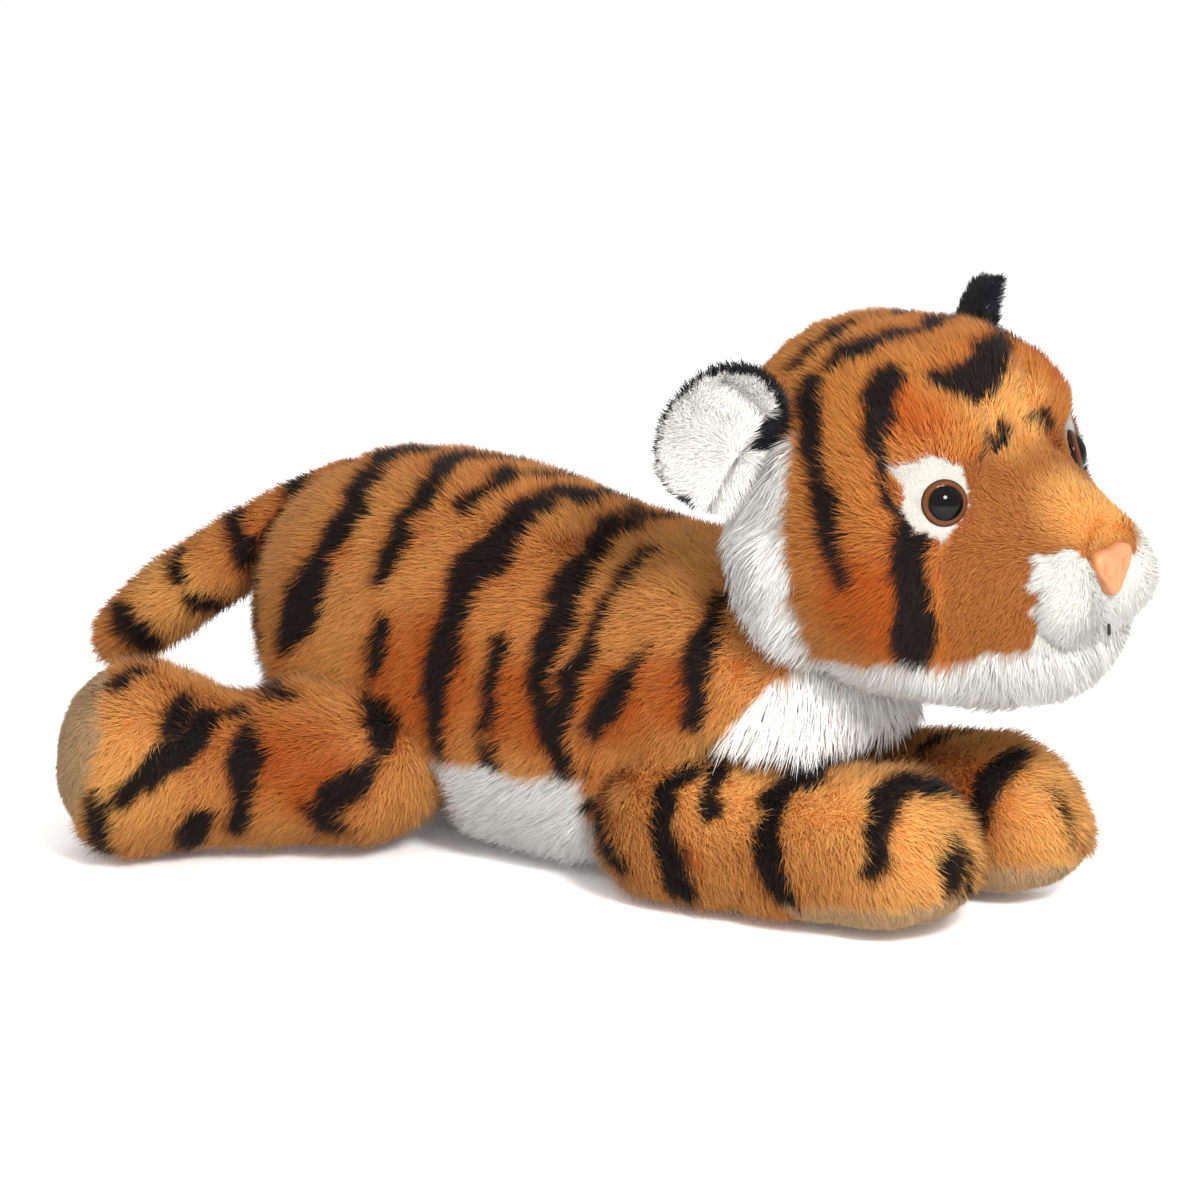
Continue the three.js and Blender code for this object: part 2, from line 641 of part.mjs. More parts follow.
// An ear of two cupped layers on a bead, which turns in a groove of the head. Its frame has x along
// the bead, y out to the ear's tip and z square to the ear.
function buildEar(name, side) {
  const { back: earBack, out: earOut, up: earUp } = earPlace;
  const outside = vec(0, side * earOut, earUp).multiplyScalar(farOut).setX(earBack);
  const place = surfaceAt(headOuter, outside, vec(earBack, 0, 0).sub(outside));
  const rootWay = sided(earRootWay, side);
  const face = sided(earFaces, side);
  const out = new THREE.Vector3().crossVectors(face, rootWay).multiplyScalar(-side).normalize();
  const square = new THREE.Vector3().crossVectors(rootWay, out);
  const frame = new THREE.Group();
  frame.name = `ear_${name}_frame`;
  frame.position.copy(place);
  frame.quaternion.setFromRotationMatrix(new THREE.Matrix4().makeBasis(rootWay, out, square));
  frame.updateMatrix();
  headFrame.add(frame);

  const half = ear.wide / 2;
  const outline = new THREE.Shape();
  outline.moveTo(-ear.root / 2, 0);
  const bulge = half * 1.15;
  const widest = ear.tall * 0.45;
  outline.bezierCurveTo(ear.lean - bulge, widest, ear.lean - half, ear.tall, ear.lean, ear.tall);
  outline.bezierCurveTo(ear.lean + half, ear.tall, ear.lean + bulge, widest, ear.root / 2, 0);
  const prism = new THREE.ExtrudeGeometry(outline, {
    depth: ear.bowl,
    bevelEnabled: false,
    curveSegments: 7,
  });
  prism.translate(0, 0, -ear.bowl / 2);
  const leaf = solidOf(prism);
  const towardsFace = Math.sign(square.dot(face));
  const cup = Math.sqrt(ear.bowl ** 2 - (ear.tall / 2) ** 2);
  const middle = vec(0, ear.tall / 2, towardsFace * cup);
  const layer = (outer) =>
    ball(middle, outer)
      .subtract(ball(middle, outer - ear.layer))
      .intersect(leaf);
  const backOuter = ear.bowl + ear.layer / 2;

  const inverse = frame.matrix.clone().invert();
  const headHere = solidOf(geometryOf(headGrown(turnGap)).applyMatrix4(inverse));
  const swept = [-ear.fold, 0, ear.fold].map((angle) => headHere.rotate([angle, 0, 0]));
  const bead = rod(vec(0, 0, 0), ahead, -ear.root / 2, ear.root / 2, ear.bead);
  const liningSpace = block(-beyond, beyond, ear.liningFoot, beyond, -beyond, beyond);
  const lining = layer(backOuter - ear.layer - seamGap).intersect(liningSpace);
  addPiece(frame, `ear_back_${name}`, without(layer(backOuter), swept).add(bead), materials.black);
  addPiece(frame, `ear_lining_${name}`, without(lining, swept), materials.white);

  const reach = ear.root / 2 + turnGap;
  return rod(place, rootWay, -reach, reach, ear.bead + turnGap);
}

// The spaces of the head's fabric panels, each with room to spare for the seam round it

const muzzleSpace = (gap) => block(faceSeam - gap, beyond, -beyond, beyond, -beyond, beyond);
const jawDown = vec(Math.sin(radians(jaw.rise)), 0, -Math.cos(radians(jaw.rise)));

function jawSpace(gap) {
  const below = halfSpace(vec(0, 0, jaw.top).addScaledVector(jawDown, -gap), jawDown);
  return below.intersect(block(jaw.rear - gap, beyond, -beyond, beyond, -beyond, beyond));
}

function ruffSpace(side, gap) {
  const { rear, front, top, low } = cheekRuff;
  const [near, far] = side > 0 ? [0, beyond] : [-beyond, 0];
  return block(rear - gap, front + gap, near, far, low - gap, top + gap);
}

// The patch round an eye is cut as a drop: round in front, drawn out to a point behind and above
function patchSpace({ point, way }, gap) {
  const [rear, top, front, low] = ['rear', 'top', 'front', 'low'].map((edge) => eyePatch[edge] + gap);
  const outline = new THREE.Shape();
  outline.moveTo(-rear, top);
  outline.bezierCurveTo(-rear * 0.9, -top * 0.2, -rear * 0.4, -low, 0, -low);
  outline.bezierCurveTo(front * 0.6, -low, front, -low * 0.5, front, 0);
  outline.bezierCurveTo(front, top * 0.8, -rear * 0.2, top * 1.1, -rear, top);
  const drop = new THREE.ExtrudeGeometry(outline, {
    depth: 2 * rear,
    bevelEnabled: false,
    curveSegments: 6,
  });
  drop.translate(0, 0, -rear);
  const turn = way.y < 0 ? 1 : -1;
  const forward = new THREE.Vector3().crossVectors(upward, way).normalize().multiplyScalar(turn);
  const over = new THREE.Vector3().crossVectors(way, forward);
  drop.applyMatrix4(new THREE.Matrix4().makeBasis(forward, over, way));
  drop.translate(point.x, point.y, point.z);
  return solidOf(drop);
}

// Half of the puffed muzzle, an oval that the head and its neighbours cut to a pad
function padOval(side, gap) {
  const { forward, aside, up, long, wide, high } = muzzlePad;
  const [near, far] = side > 0 ? [gap / 2, beyond] : [-beyond, -gap / 2];
  const half = block(-beyond, beyond, near, far, -beyond, beyond);
  return ellipsoid(vec(forward, side * aside, up), long, wide, high).intersect(half);
}

function buildHead() {
  const earGrooves = sides.map(({ name, side }) => buildEar(name, side));
  const eyes = sides.map(({ side }) => {
    const start = vec(eye.forward, side * eye.aside, eye.up).multiplyScalar(farOut);
    return { point: surfaceAt(headOuter, start, start.clone().negate()), way: sided(eyeLooks, side) };
  });
  const noseFront = surfaceAt(headOuter, vec(beyond, 0, nose.up), ahead.clone().negate());
  const nosePlace = { point: noseFront.addScaledVector(upward, -nose.shankDrop), way: ahead };
  const noseRoom = noseSolid(nosePlace, seamGap);
  const mouth = headGrown(jaw.puff).add(padOval(1, 0));
  const lip = surfaceAt(mouth, vec(beyond, seamGap, mouthStitch.up), ahead.clone().negate());
  const stitch = (grow) => {
    const reach = mouthStitch.length / 2 + grow;
    return rod(vec(lip.x, 0, mouthStitch.up), upward, -reach, reach, mouthStitch.diameter / 2 + grow);
  };

  const dents = [...eyes, nosePlace].map(washerDent);
  const hardRooms = [noseRoom, stitch(seamGap), ...eyes.map((place) => eyeSolid(place, seamGap)), ...dents];
  const fabricOf = (grow) => without(headGrown(grow), [headHollow, neckSeat, ...hardRooms]);
  const shell = fabricOf(0);
  const patches = eyes.map((place) => patchSpace(place, seamGap));
  const ruffs = sides.map(({ side }) => ruffSpace(side, seamGap));
  const panels = [muzzleSpace(seamGap), jawSpace(seamGap), ...patches, ...ruffs];
  addPiece(headFrame, 'head_skin', without(shell, [...panels, ...earGrooves]), materials.striped);
  const snout = without(shell.intersect(muzzleSpace(0)), [jawSpace(seamGap), ...patches]);
  addPiece(headFrame, 'snout_skin', snout, materials.brown);
  addPiece(headFrame, 'jaw_ruff', fabricOf(jaw.puff).intersect(jawSpace(0)), materials.white);

  const jawAround = fabricOf(jaw.puff + seamGap).intersect(jawSpace(seamGap));
  sides.forEach(({ name, side }, i) => {
    const patch = shell.intersect(patchSpace(eyes[i], 0)).subtract(jawSpace(seamGap));
    const ruff = fabricOf(cheekRuff.puff).intersect(ruffSpace(side, 0)).subtract(jawSpace(seamGap));
    const pad = without(padOval(side, seamGap), [headGrown(seamGap), jawAround, ...hardRooms]);
    addPiece(headFrame, `eye_patch_${name}`, patch, materials.white);
    addPiece(headFrame, `cheek_ruff_${name}`, ruff, materials.white);
    addPiece(headFrame, `muzzle_pad_${name}`, pad, materials.white);
    addPiece(headFrame, `eye_${name}`, eyeSolid(eyes[i], 0), materials.eyePlastic);
    addPiece(headFrame, `eye_washer_${name}`, washerOf(eyes[i]), materials.washerPlastic);
  });
  addPiece(headFrame, 'nose', noseSolid(nosePlace, 0), materials.nosePlastic);
  addPiece(headFrame, 'nose_washer', washerOf(nosePlace), materials.washerPlastic);
  addPiece(headFrame, 'mouth_stitch', stitch(0), materials.thread);

  const stuffing = without(headCore, [neckSeat, ...[...eyes, nosePlace].map(washerRoom), ...earGrooves]);
  addPiece(headFrame, 'head_stuffing', stuffing, materials.fibre);
}

buildTorso();
buildTail(stuffedTube(torsoForm, finely.torso, turnGap));
legs.forEach(buildLeg);
buildHead();

export default toy;
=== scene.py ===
# Floppy plush tiger on its belly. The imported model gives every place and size. Here each sewn
# panel is stuffed out and grown over with pile, and the plastic and thread get their finish.
import math
import bmesh
import bpy
import numpy as np
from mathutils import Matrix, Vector
from mathutils.bvhtree import BVHTree


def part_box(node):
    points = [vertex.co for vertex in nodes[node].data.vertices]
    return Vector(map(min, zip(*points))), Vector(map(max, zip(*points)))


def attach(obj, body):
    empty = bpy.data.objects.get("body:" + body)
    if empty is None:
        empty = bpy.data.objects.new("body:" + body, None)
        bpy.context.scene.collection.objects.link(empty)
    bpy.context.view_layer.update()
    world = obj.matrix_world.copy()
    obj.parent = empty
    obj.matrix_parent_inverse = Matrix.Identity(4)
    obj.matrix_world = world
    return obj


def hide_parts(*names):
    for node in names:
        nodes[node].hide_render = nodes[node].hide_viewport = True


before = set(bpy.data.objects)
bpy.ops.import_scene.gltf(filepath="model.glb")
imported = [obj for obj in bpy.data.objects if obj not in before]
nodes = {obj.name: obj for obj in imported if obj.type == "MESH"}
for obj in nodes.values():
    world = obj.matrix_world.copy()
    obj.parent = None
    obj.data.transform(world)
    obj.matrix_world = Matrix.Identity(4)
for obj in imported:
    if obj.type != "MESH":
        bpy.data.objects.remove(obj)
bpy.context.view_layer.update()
scene = bpy.context.scene
mm = 0.001


# Small helpers

def colourOf(hexText):
    # the linear colour of a web colour
    parts = [int(hexText[i:i + 2], 16) / 255 for i in (1, 3, 5)]
    return [p / 12.92 if p <= 0.04045 else ((p + 0.055) / 1.055) ** 2.4 for p in parts]


def opaque(hexText):
    return (*colourOf(hexText), 1)


def smoothStep(value, low, high):
    share = np.clip((value - low) / (high - low), 0, 1)
    return share * share * (3 - 2 * share)


def atLeast(least, share):
    # least where the share is 0, and the whole where it is 1
    return least + (1 - least) * share


def unit(vectors):
    return vectors / np.maximum(np.linalg.norm(vectors, axis=-1, keepdims=True), 1e-9)


def lengths(vectors):
    return np.linalg.norm(vectors, axis=1)


def waves(points, size, seed, count=8):
    # an even, endless mottle between about -1 and 1, with patches as wide as size
    maker = np.random.default_rng(seed)
    ways = maker.normal(size=(count, 3)) * (2.6 / size)
    return np.sin(points @ ways.T + maker.uniform(0, 6.28, count)).sum(1) / math.sqrt(count * 0.9)


def waves3(points, size, seed):
    return np.stack([waves(points, size, seed + i) for i in range(3)], 1)


def feed(tree, node, inputs):
    for key, value in inputs.items():
        if isinstance(value, bpy.types.NodeSocket):
            tree.links.new(value, node.inputs[key])
        else:
            node.inputs[key].default_value = value


def wire(tree, kind, inputs=None, **settings):
    node = tree.nodes.new(kind)
    for key, value in settings.items():
        setattr(node, key, value)
    feed(tree, node, inputs or {})
    return node


def made(tree, kind, inputs=None, **settings):
    return wire(tree, kind, inputs, **settings).outputs[0]


def mixed(tree, share, first, second):
    # a colour between two others
    return wire(tree, "ShaderNodeMix", {0: share, 6: first, 7: second}, data_type="RGBA").outputs[2]


def newFinish(name):
    # a material with its Principled shader, ready for nodes
    finish = bpy.data.materials.new(name)
    finish.use_nodes = True
    return finish, finish.node_tree, finish.node_tree.nodes["Principled BSDF"]


def grained(name, scale, detail, low, high, looks, relief=None):
    # a finish mottled between two colours; relief is a grain's scale, detail, strength and depth
    finish, tree, shader = newFinish(name)

    def noise(size, steps):
        place = wire(tree, "ShaderNodeTexCoord").outputs["Object"]
        return made(tree, "ShaderNodeTexNoise", {"Vector": place, "Scale": size, "Detail": steps})

    feed(tree, shader, {"Base Color": mixed(tree, noise(scale, detail), low, high), **looks})
    if relief:
        bump = {"Height": noise(*relief[:2]), "Strength": relief[2], "Distance": relief[3]}
        feed(tree, shader, {"Normal": made(tree, "ShaderNodeBump", bump)})
    return finish


def meshOf(piece):
    graph = bpy.context.evaluated_depsgraph_get()
    return bpy.data.meshes.new_from_object(
        piece.evaluated_get(graph), preserve_all_data_layers=True, depsgraph=graph)


def applyAll(piece):
    made = meshOf(piece)
    piece.modifiers.clear()
    old = piece.data
    piece.data = made
    bpy.data.meshes.remove(old)


def readAll(items, name, kind=np.float32, width=1):
    flat = np.empty(len(items) * width, kind)
    items.foreach_get(name, flat)
    return flat


def pointsOf(mesh):
    return readAll(mesh.vertices, "co", width=3).reshape(-1, 3).astype(float) / mm


def movePoints(mesh, points):
    mesh.vertices.foreach_set("co", (points * mm).astype(np.float32).ravel())
    mesh.update()


def normalsOf(mesh):
    return readAll(mesh.vertex_normals, "vector", width=3).reshape(-1, 3).astype(float)


def remeshed(piece, voxel, rounds):
    # one even skin around a piece, rounded off
    remesh = piece.modifiers.new("skin", "REMESH")
    remesh.mode = "VOXEL"
    remesh.voxel_size = voxel * mm
    piece.modifiers.new("round", "SMOOTH").iterations = rounds


def pieceOf(name, mesh):
    piece = bpy.data.objects.new(name, mesh)
    scene.collection.objects.link(piece)
    return piece


def standing(name, data, place, way):
    # a camera or lamp that looks against a way
    piece = pieceOf(name, data)
    piece.location = place
    piece.rotation_euler = way.to_track_quat("Z", "Y").to_euler()
    return piece


def treeOf(nodeName):
    mesh = nodes[nodeName].data
    corners = [v.co / mm for v in mesh.vertices]
    return BVHTree.FromPolygons(corners, [p.vertices for p in mesh.polygons])


def ringFaces(base, rows, count):
    # the faces between rows of corners, each row once round
    faces = []
    for row in range(rows):
        for i in range(count):
            a, b = (base + row * count + j % count for j in (i, i + 1))
            faces.append((a, b, b + count, a + count))
    return faces


# What is noted on the points of a mesh; only the last two are kept
noteKinds = {
    "comb": "FLOAT_VECTOR", "rootColour": "FLOAT_COLOR", "tipColour": "FLOAT_COLOR", "plot": "INT",
    "thick": "FLOAT", "dark": "FLOAT", "skinUp": "FLOAT_VECTOR", "tilt": "FLOAT_VECTOR",
    "shade": "FLOAT", "feather": "FLOAT", "along": "FLOAT", "ring": "FLOAT", "coat": "FLOAT_COLOR",
}


def give(mesh, name, values, domain="POINT"):
    kind = noteKinds[name]
    slot = {"FLOAT": "value", "INT": "value", "FLOAT_VECTOR": "vector", "FLOAT_COLOR": "color"}[kind]
    flat = np.ascontiguousarray(values, dtype=np.int32 if kind == "INT" else np.float32).ravel()
    mesh.attributes.new(name, kind, domain).data.foreach_set(slot, flat)


def forget(mesh):
    for name in list(noteKinds)[:-2]:
        if name in mesh.attributes:
            mesh.attributes.remove(mesh.attributes[name])


# Camera, floor and light

studio = {
    "azimuth": 35, "elevation": 13, "distance": 1.15, "lens": 126.6,
    "target": (0, -0.0145, 0.075),
    "floorSize": 3.2, "floorSeen": 1.7, "floorLit": 0.8,
    "keyWay": (0.70, -0.50, 0.50), "keyDistance": 0.8, "keySize": 0.18, "keyPower": 5.0,
    "fillWay": (0.55, -0.8, 0.16), "fillDistance": 1.3, "fillSize": 1.2, "fillPower": 7.2,
    "backWay": (-0.3, 0.8, 0.75), "backDistance": 1.3, "backSize": 1.0, "backPower": 3.5,
    "daylight": 0.60,
}


def setStudio():
    turn, tilt = math.radians(studio["azimuth"]), math.radians(studio["elevation"])
    back = Vector((math.sin(turn) * math.cos(tilt), -math.cos(turn) * math.cos(tilt), math.sin(tilt)))
    target = Vector(studio["target"])
    camera = bpy.data.cameras.new("photoCamera")
    camera.lens = studio["lens"]
    camera.sensor_width = 36
    camera.clip_start = 0.05
    scene.camera = standing("photoCamera", camera, target + back * studio["distance"], back)
    for lamp in ("key", "fill", "back"):
        light = bpy.data.lights.new(lamp + "Softbox", "AREA")
        light.shape = "DISK"
        light.size = studio[lamp + "Size"]
        light.energy = studio[lamp + "Power"]
        way = Vector(studio[lamp + "Way"]).normalized()
        stand = standing(lamp + "Softbox", light, target + way * studio[lamp + "Distance"], way)
        stand.visible_glossy = lamp == "key"  # one highlight in each eye
    mesh = bpy.data.meshes.new("studioFloor")
    half = studio["floorSize"] / 2
    square = [(-half, -half, 0), (half, -half, 0), (half, half, 0), (-half, half, 0)]
    mesh.from_pydata(square, [], [(0, 1, 2, 3)])
    floor = pieceOf("studioFloor", mesh)
    finish, tree, shader = newFinish("studioPaper")
    lit, bright = ((studio[name],) * 3 + (1,) for name in ("floorLit", "floorSeen"))
    paper = mixed(tree, seenShare(tree), lit, bright)
    feed(tree, shader, {"Base Color": paper, "Roughness": 0.9, "Specular IOR Level": 0.1})
    mesh.materials.append(finish)
    world = bpy.data.worlds.new("studioDaylight")
    world.use_nodes = True
    scene.world = world
    tree = world.node_tree
    power = made(tree, "ShaderNodeMix", {0: seenShare(tree), 2: studio["daylight"], 3: 1.0})
    feed(tree, tree.nodes["Background"], {"Color": (1, 1, 1, 1), "Strength": power})
    scene.view_settings.view_transform = "Standard"


def seenShare(tree):
    # 1 for what the camera sees, straight or in gloss and glass
    rays = wire(tree, "ShaderNodeLightPath").outputs
    share = rays["Is Camera Ray"]
    for name in ("Is Glossy Ray", "Is Transmission Ray"):
        share = made(tree, "ShaderNodeMath", {0: share, 1: rays[name]}, operation="MAXIMUM")
    return share


setStudio()
print("studio set")


# The frame of the head: forward, to the toy's left, and up

headPlace = np.array([87, 0, 109.0])
headAxes = np.array([[0.9945, -0.1045, 0], [0.1041, 0.9907, 0.0872], [-0.0091, -0.0867, 0.9962]])


def inHead(points):
    return (points - headPlace) @ headAxes.T


def fromHead(points):
    return np.asarray(points, float) @ headAxes + headPlace


# Plush cloths: the length of the pile in mm, how steeply it stands, the strands' width, how many
# stand on a square mm, the size and pull of their clumps, how far they stray, the colours of tip
# and root, and the slot. The darker roots are painted shade deep in the pile.

clothColumns = ("pile", "rise", "width", "count", "clump", "pull", "stray", "tip", "root", "slot")
clothRows = {
    "striped": (5.0, 0.68, 0.245, 5.2, 2.0, 0.22, 0.4, "#F2AC60", "#B25E20", "striped_plush"),
    "face": (4.6, 0.64, 0.235, 5.6, 1.9, 0.24, 0.32, "#E29A4C", "#A04816", "striped_plush"),
    "snout": (2.6, 0.58, 0.21, 7.5, 1.6, 0.25, 0.25, "#C67F3E", "#824018", "brown_plush"),
    "belly": (6.0, 0.55, 0.32, 4.0, 2.6, 0.35, 0.25, "#F8F8F4", "#EAE9E3", "white_plush"),
    "bib": (12.0, 0.38, 0.4, 2.6, 3.6, 0.6, 0.16, "#FEFEFA", "#F4F3EE", "long_white_plush"),
    "jaw": (6.8, 0.38, 0.31, 4.4, 2.8, 0.4, 0.2, "#EEEEE9", "#DEDDD6", "long_white_plush"),
    "ruff": (9.5, 0.42, 0.38, 3.1, 3.0, 0.5, 0.18, "#E4E3DE", "#D3D2CB", "long_white_plush"),
    "patch": (1.2, 0.7, 0.21, 14, 1.0, 0.1, 0.3, "#D4D2C9", "#C8C5BB", "eye_patch_plush"),
    "pad": (3.4, 0.6, 0.23, 9, 1.8, 0.3, 0.25, "#ECECE4", "#DFDED5", "muzzle_pad_plush"),
    "earBack": (3.6, 0.6, 0.28, 6.0, 1.6, 0.3, 0.25, "#1E1E22", "#070708", "black_plush"),
    "earLining": (3.8, 0.52, 0.28, 6.0, 2.0, 0.3, 0.25, "#F4F4EF", "#E6E5DE", "ear_lining_plush"),
    "sole": (2.4, 0.6, 0.25, 7.0, 1.4, 0.25, 0.3, "#E2BB8E", "#B88D60", "sole_plush"),
}
cloths = {name: dict(zip(clothColumns, row)) for name, row in clothRows.items()}
clothNames = list(cloths)
longCloths = ("bib", "ruff")
clothOfNode = {
    "torso_skin": "striped", "belly_panel": "belly", "chest_bib": "bib", "neck_gusset": "striped",
    "tail_skin": "striped", "head_skin": "face", "snout_skin": "snout", "jaw_ruff": "jaw",
}
for sideName in ("right", "left"):
    clothOfNode.update({
        f"eye_patch_{sideName}": "patch", f"cheek_ruff_{sideName}": "ruff", f"muzzle_pad_{sideName}": "pad",
        f"ear_back_{sideName}": "earBack", f"ear_lining_{sideName}": "earLining",
        f"front_leg_{sideName}_skin": "striped", f"front_leg_{sideName}_sole": "sole",
        f"rear_leg_{sideName}_skin": "striped", f"rear_leg_{sideName}_sole": "sole",
    })


# The printed stripes: each a stroke of points in mm with its half width, drawn on the right side

bodyStripes = [
    [(-77, 0, 105, 4), (-71, -29, 97, 4.2), (-76, -41, 81, 5.3), (-81, -45, 68, 6.4),
     (-88, -38, 50, 2.6)],
    [(-57, -1, 107, 3.7), (-50, -28, 98, 3), (-52, -39, 87, 2.7), (-55, -43, 80, 2.2)],
    [(-37, -4, 105, 3.3), (-36, -16, 102, 3.3), (-39, -23, 99, 1.9)],
    [(-17, 4, 102, 2.4), (-20, -18, 99, 4.9), (-23, -31, 91, 5.4), (-26, -40, 81, 5.1),
     (-28, -45, 70, 4.3), (-30, -47, 58, 4.1), (-31, -47, 47, 3.5), (-31, -46, 36, 2.7)],
    [(-11, -43, 69, 1.5), (-13, -46, 57, 2.2), (-13, -46, 45, 2.3), (-13, -46, 33, 2)],
    [(1, 6, 97, 2.4), (4, -19, 93, 3.5), (4, -34, 82, 3.8), (3, -41, 71, 3.6), (3, -44, 59, 3.3),
     (6, -45, 48, 3.2), (9, -45, 36, 2.4), (9, -44, 28, 1.3)],
    [(19, -16, 93, 1.2), (18, -29, 86, 1.9), (16, -37, 76, 2.4), (14, -42, 64, 2.7),
     (10, -45, 51, 2.7)],
    [(33, -39, 74, 1.8), (28, -42, 64, 3.4), (22, -44, 52, 2.4), (14, -40, 38, 2.6),
     (14, -38, 26, 2.4), (22, -46, 20, 2.3), (28, -48, 12, 2)],
    [(48, -26, 86, 1.6), (49, -34, 78, 2.6), (50, -40, 68, 2.6), (49, -42, 59, 2.6),
     (48, -43, 53, 2.1)],
    [(-51, -46, 71, 1.8), (-50, -48, 63, 2.5), (-53, -46, 55, 3.4), (-54, -44, 48, 2.8),
     (-47, -50, 43, 4.4), (-43, -53, 37, 3), (-42, -56, 32, 2.2)],
    [(-106, 10, 92, 1.6), (-108, -16, 84, 3), (-107, -28, 70, 3.2), (-103, -34, 56, 2.6)],
    [(-113, -2, 74, 2.2), (-112, -12, 62, 2.6), (-108, -20, 48, 2.2)],
]
rearLegStripes = [
    [(-44, -58, 32, 2.7), (-48, -62, 26, 3.8), (-53, -64, 21, 3.3), (-56, -66, 18, 1.9)],
    [(-59, -67, 18, 1.4), (-55, -62, 13, 3.6), (-53, -58, 10, 1.9)],
    [(-80, -52, 47, 2.6), (-77, -62, 41, 3.3), (-74, -76, 31, 3), (-74, -77, 21, 2.7),
     (-77, -77, 12, 2.8)],
    [(-93, -56, 44, 2), (-96, -62, 41, 1.4)],
    [(-85, -76, 42, 3.3), (-86, -87, 37, 4.1), (-89, -94, 33, 3.8), (-93, -99, 28, 3.3),
     (-97, -102, 24, 1.9)],
    [(-103, -105, 21, 3), (-105, -103, 13, 3.9), (-107, -99, 6, 3.9)],
    [(-81, -83, 17, 1.9), (-85, -84, 12, 3), (-91, -82, 6, 2.5)],
    [(-104, -81, 55, 1.9), (-105, -89, 54, 2.5), (-105, -94, 52, 1.6)],
    [(-104, -62, 50, 2.4), (-112, -62, 42, 3.2), (-114, -64, 28, 2.6), (-112, -68, 14, 2)],
]
frontLegStripes = [
    [(41, -24, 44, 2.4), (43, -38, 41, 2.6), (42, -45, 36, 2.6), (42, -49, 29, 2.6),
     (43, -49, 22, 2.6), (45, -49, 15, 2.6), (47, -46, 8, 2.9)],
    [(51, -35, 41, 1.6), (54, -42, 36, 1.1), (55, -45, 32, 1.7)],
    [(72, -22, 42, 3.2), (70, -36, 39, 2.9), (72, -44, 30, 3.1), (74, -46, 22, 2.9),
     (77, -46, 13, 2.6), (79, -44, 8, 1.8)],
    [(103, -22, 46, 3), (102, -36, 41, 3.1), (104, -41, 33, 2.6), (106, -42, 29, 1.8),
     (105, -43, 24, 2.3)],
    [(120, -27, 33, 1.2), (122, -28, 28, 2.3), (122, -31, 22, 2.6), (121, -31, 16, 2.1)],
    [(123, -24, 27, 0.8), (124, -23, 20, 1), (122, -22, 13, 1.2)],
]
farPawStripes = [
    [(90, 27, 44, 1.6), (85, 20, 42, 2), (84, 14, 39, 1.6)],
    [(111, 19, 43, 2.7), (111, 9, 39, 3.7), (109, 4, 32, 3.7), (108, 2, 26, 2.1)],
    [(122, 16, 39, 2.1), (126, 19, 35, 2.1), (130, 18, 29, 1.6), (131, 19, 22, 1.1)],
    [(60, 44, 36, 2.4), (62, 48, 26, 2.6), (64, 47, 14, 2.2)],
]
tailStripes = [
    [(-150, -40, 60, 2.2), (-147, -42, 55, 3.2), (-143, -40, 50, 3.8), (-141, -36, 47, 3.2)],
    [(-135, -31, 75, 2.3), (-133, -34, 69, 2.3)],
    [(-129, -33, 62, 1.7), (-126, -29, 59, 2.6), (-125, -22, 58, 2)],
    [(-121, -20, 87, 3.2), (-118, -25, 82, 3.2), (-115, -25, 76, 3.4), (-110, -24, 73, 3.1)],
    [(-109, -7, 97, 2.9), (-105, -16, 93, 3.1), (-101, -21, 88, 3.7), (-97, -24, 83, 3.4)],
    [(-97, 4, 102, 2), (-93, -6, 101, 2)],
]
headStripes = [
    [(81, -36, 146, 2), (87, -44, 134, 2.5), (90, -47, 125, 2.5), (94, -48, 116, 2.8),
     (97, -48, 106, 2.5), (98, -47, 100, 1.6)],
    [(101, -30, 150, 3.2), (102, -36, 144, 4.3), (105, -42, 138, 3), (106, -43, 133, 1.8)],
    [(76, -8, 158, 2.3), (76, -19, 156, 2.3), (74, -26, 153, 1.9), (73, -30, 150, 1.3)],
    [(94, -1, 158, 1.9), (91, -14, 157, 2.7), (87, -24, 154, 2.6), (85, -32, 150, 1.5)],
    [(111, -22, 149, 1.6), (114, -19, 146, 3.6), (116, -9, 147, 4.3), (114, 2, 151, 3.4),
     (112, 10, 154, 2.6)],
    [(116, -14, 145, 3.3), (117, -16, 140, 1.3)],
    [(120, -17, 133, 0.6), (123, -19, 128, 1)],
    [(122, -23, 126, 0.8), (122, -25, 123, 0.9)],
    [(124, -1, 133, 0.9), (125, 5, 132, 0.9)],
    [(115, -40, 111, 4.3), (115, -41, 104, 3.6), (115, -40, 95, 3.9), (115, -38, 86, 4),
     (113, -36, 77, 2.8)],
    [(108, -43, 131, 0.6), (110, -43, 125, 0.6), (111, -43, 120, 0.6), (114, -41, 114, 0.6),
     (117, -38, 109, 0.6)],
    [(58, -14, 150, 2), (52, -26, 138, 3), (50, -34, 126, 2.6), (52, -38, 116, 1.6)],
    [(48, 0, 136, 2.2), (44, -14, 128, 3), (43, -24, 116, 2.6), (46, -30, 106, 1.8)],
]

# Patches where the orange is a deep rust, partly the coat's own tone and partly painted shade in creases
# and folds: a centre in mm and a reach
rustAndShadeSpots = [
    (-36, -46, 58, 26), (-4, -46, 52, 18), (28, -44, 56, 16), (40, -40, 62, 14), (-62, -62, 30, 20),
    (104, -44, 92, 20), (108, -38, 144, 13), (118, -8, 140, 10), (112, -32, 138, 10),
    (100, -34, 24, 12), (118, -30, 20, 10), (108, 8, 32, 16), (118, 18, 26, 10),
    (-110, -12, 80, 16), (-70, -44, 90, 12), (106, -46, 96, 10),
]

# Painted light: places where the orange is made pale gold as if lit most strongly, given in the same way
paintedLightSpots = [
    (112, -34, 28, 30), (92, -34, 40, 26), (124, 22, 26, 30), (58, -40, 38, 22), (148, -6, 118, 20),
    (-104, -94, 30, 26), (-136, -32, 64, 16), (126, -12, 140, 16),
]


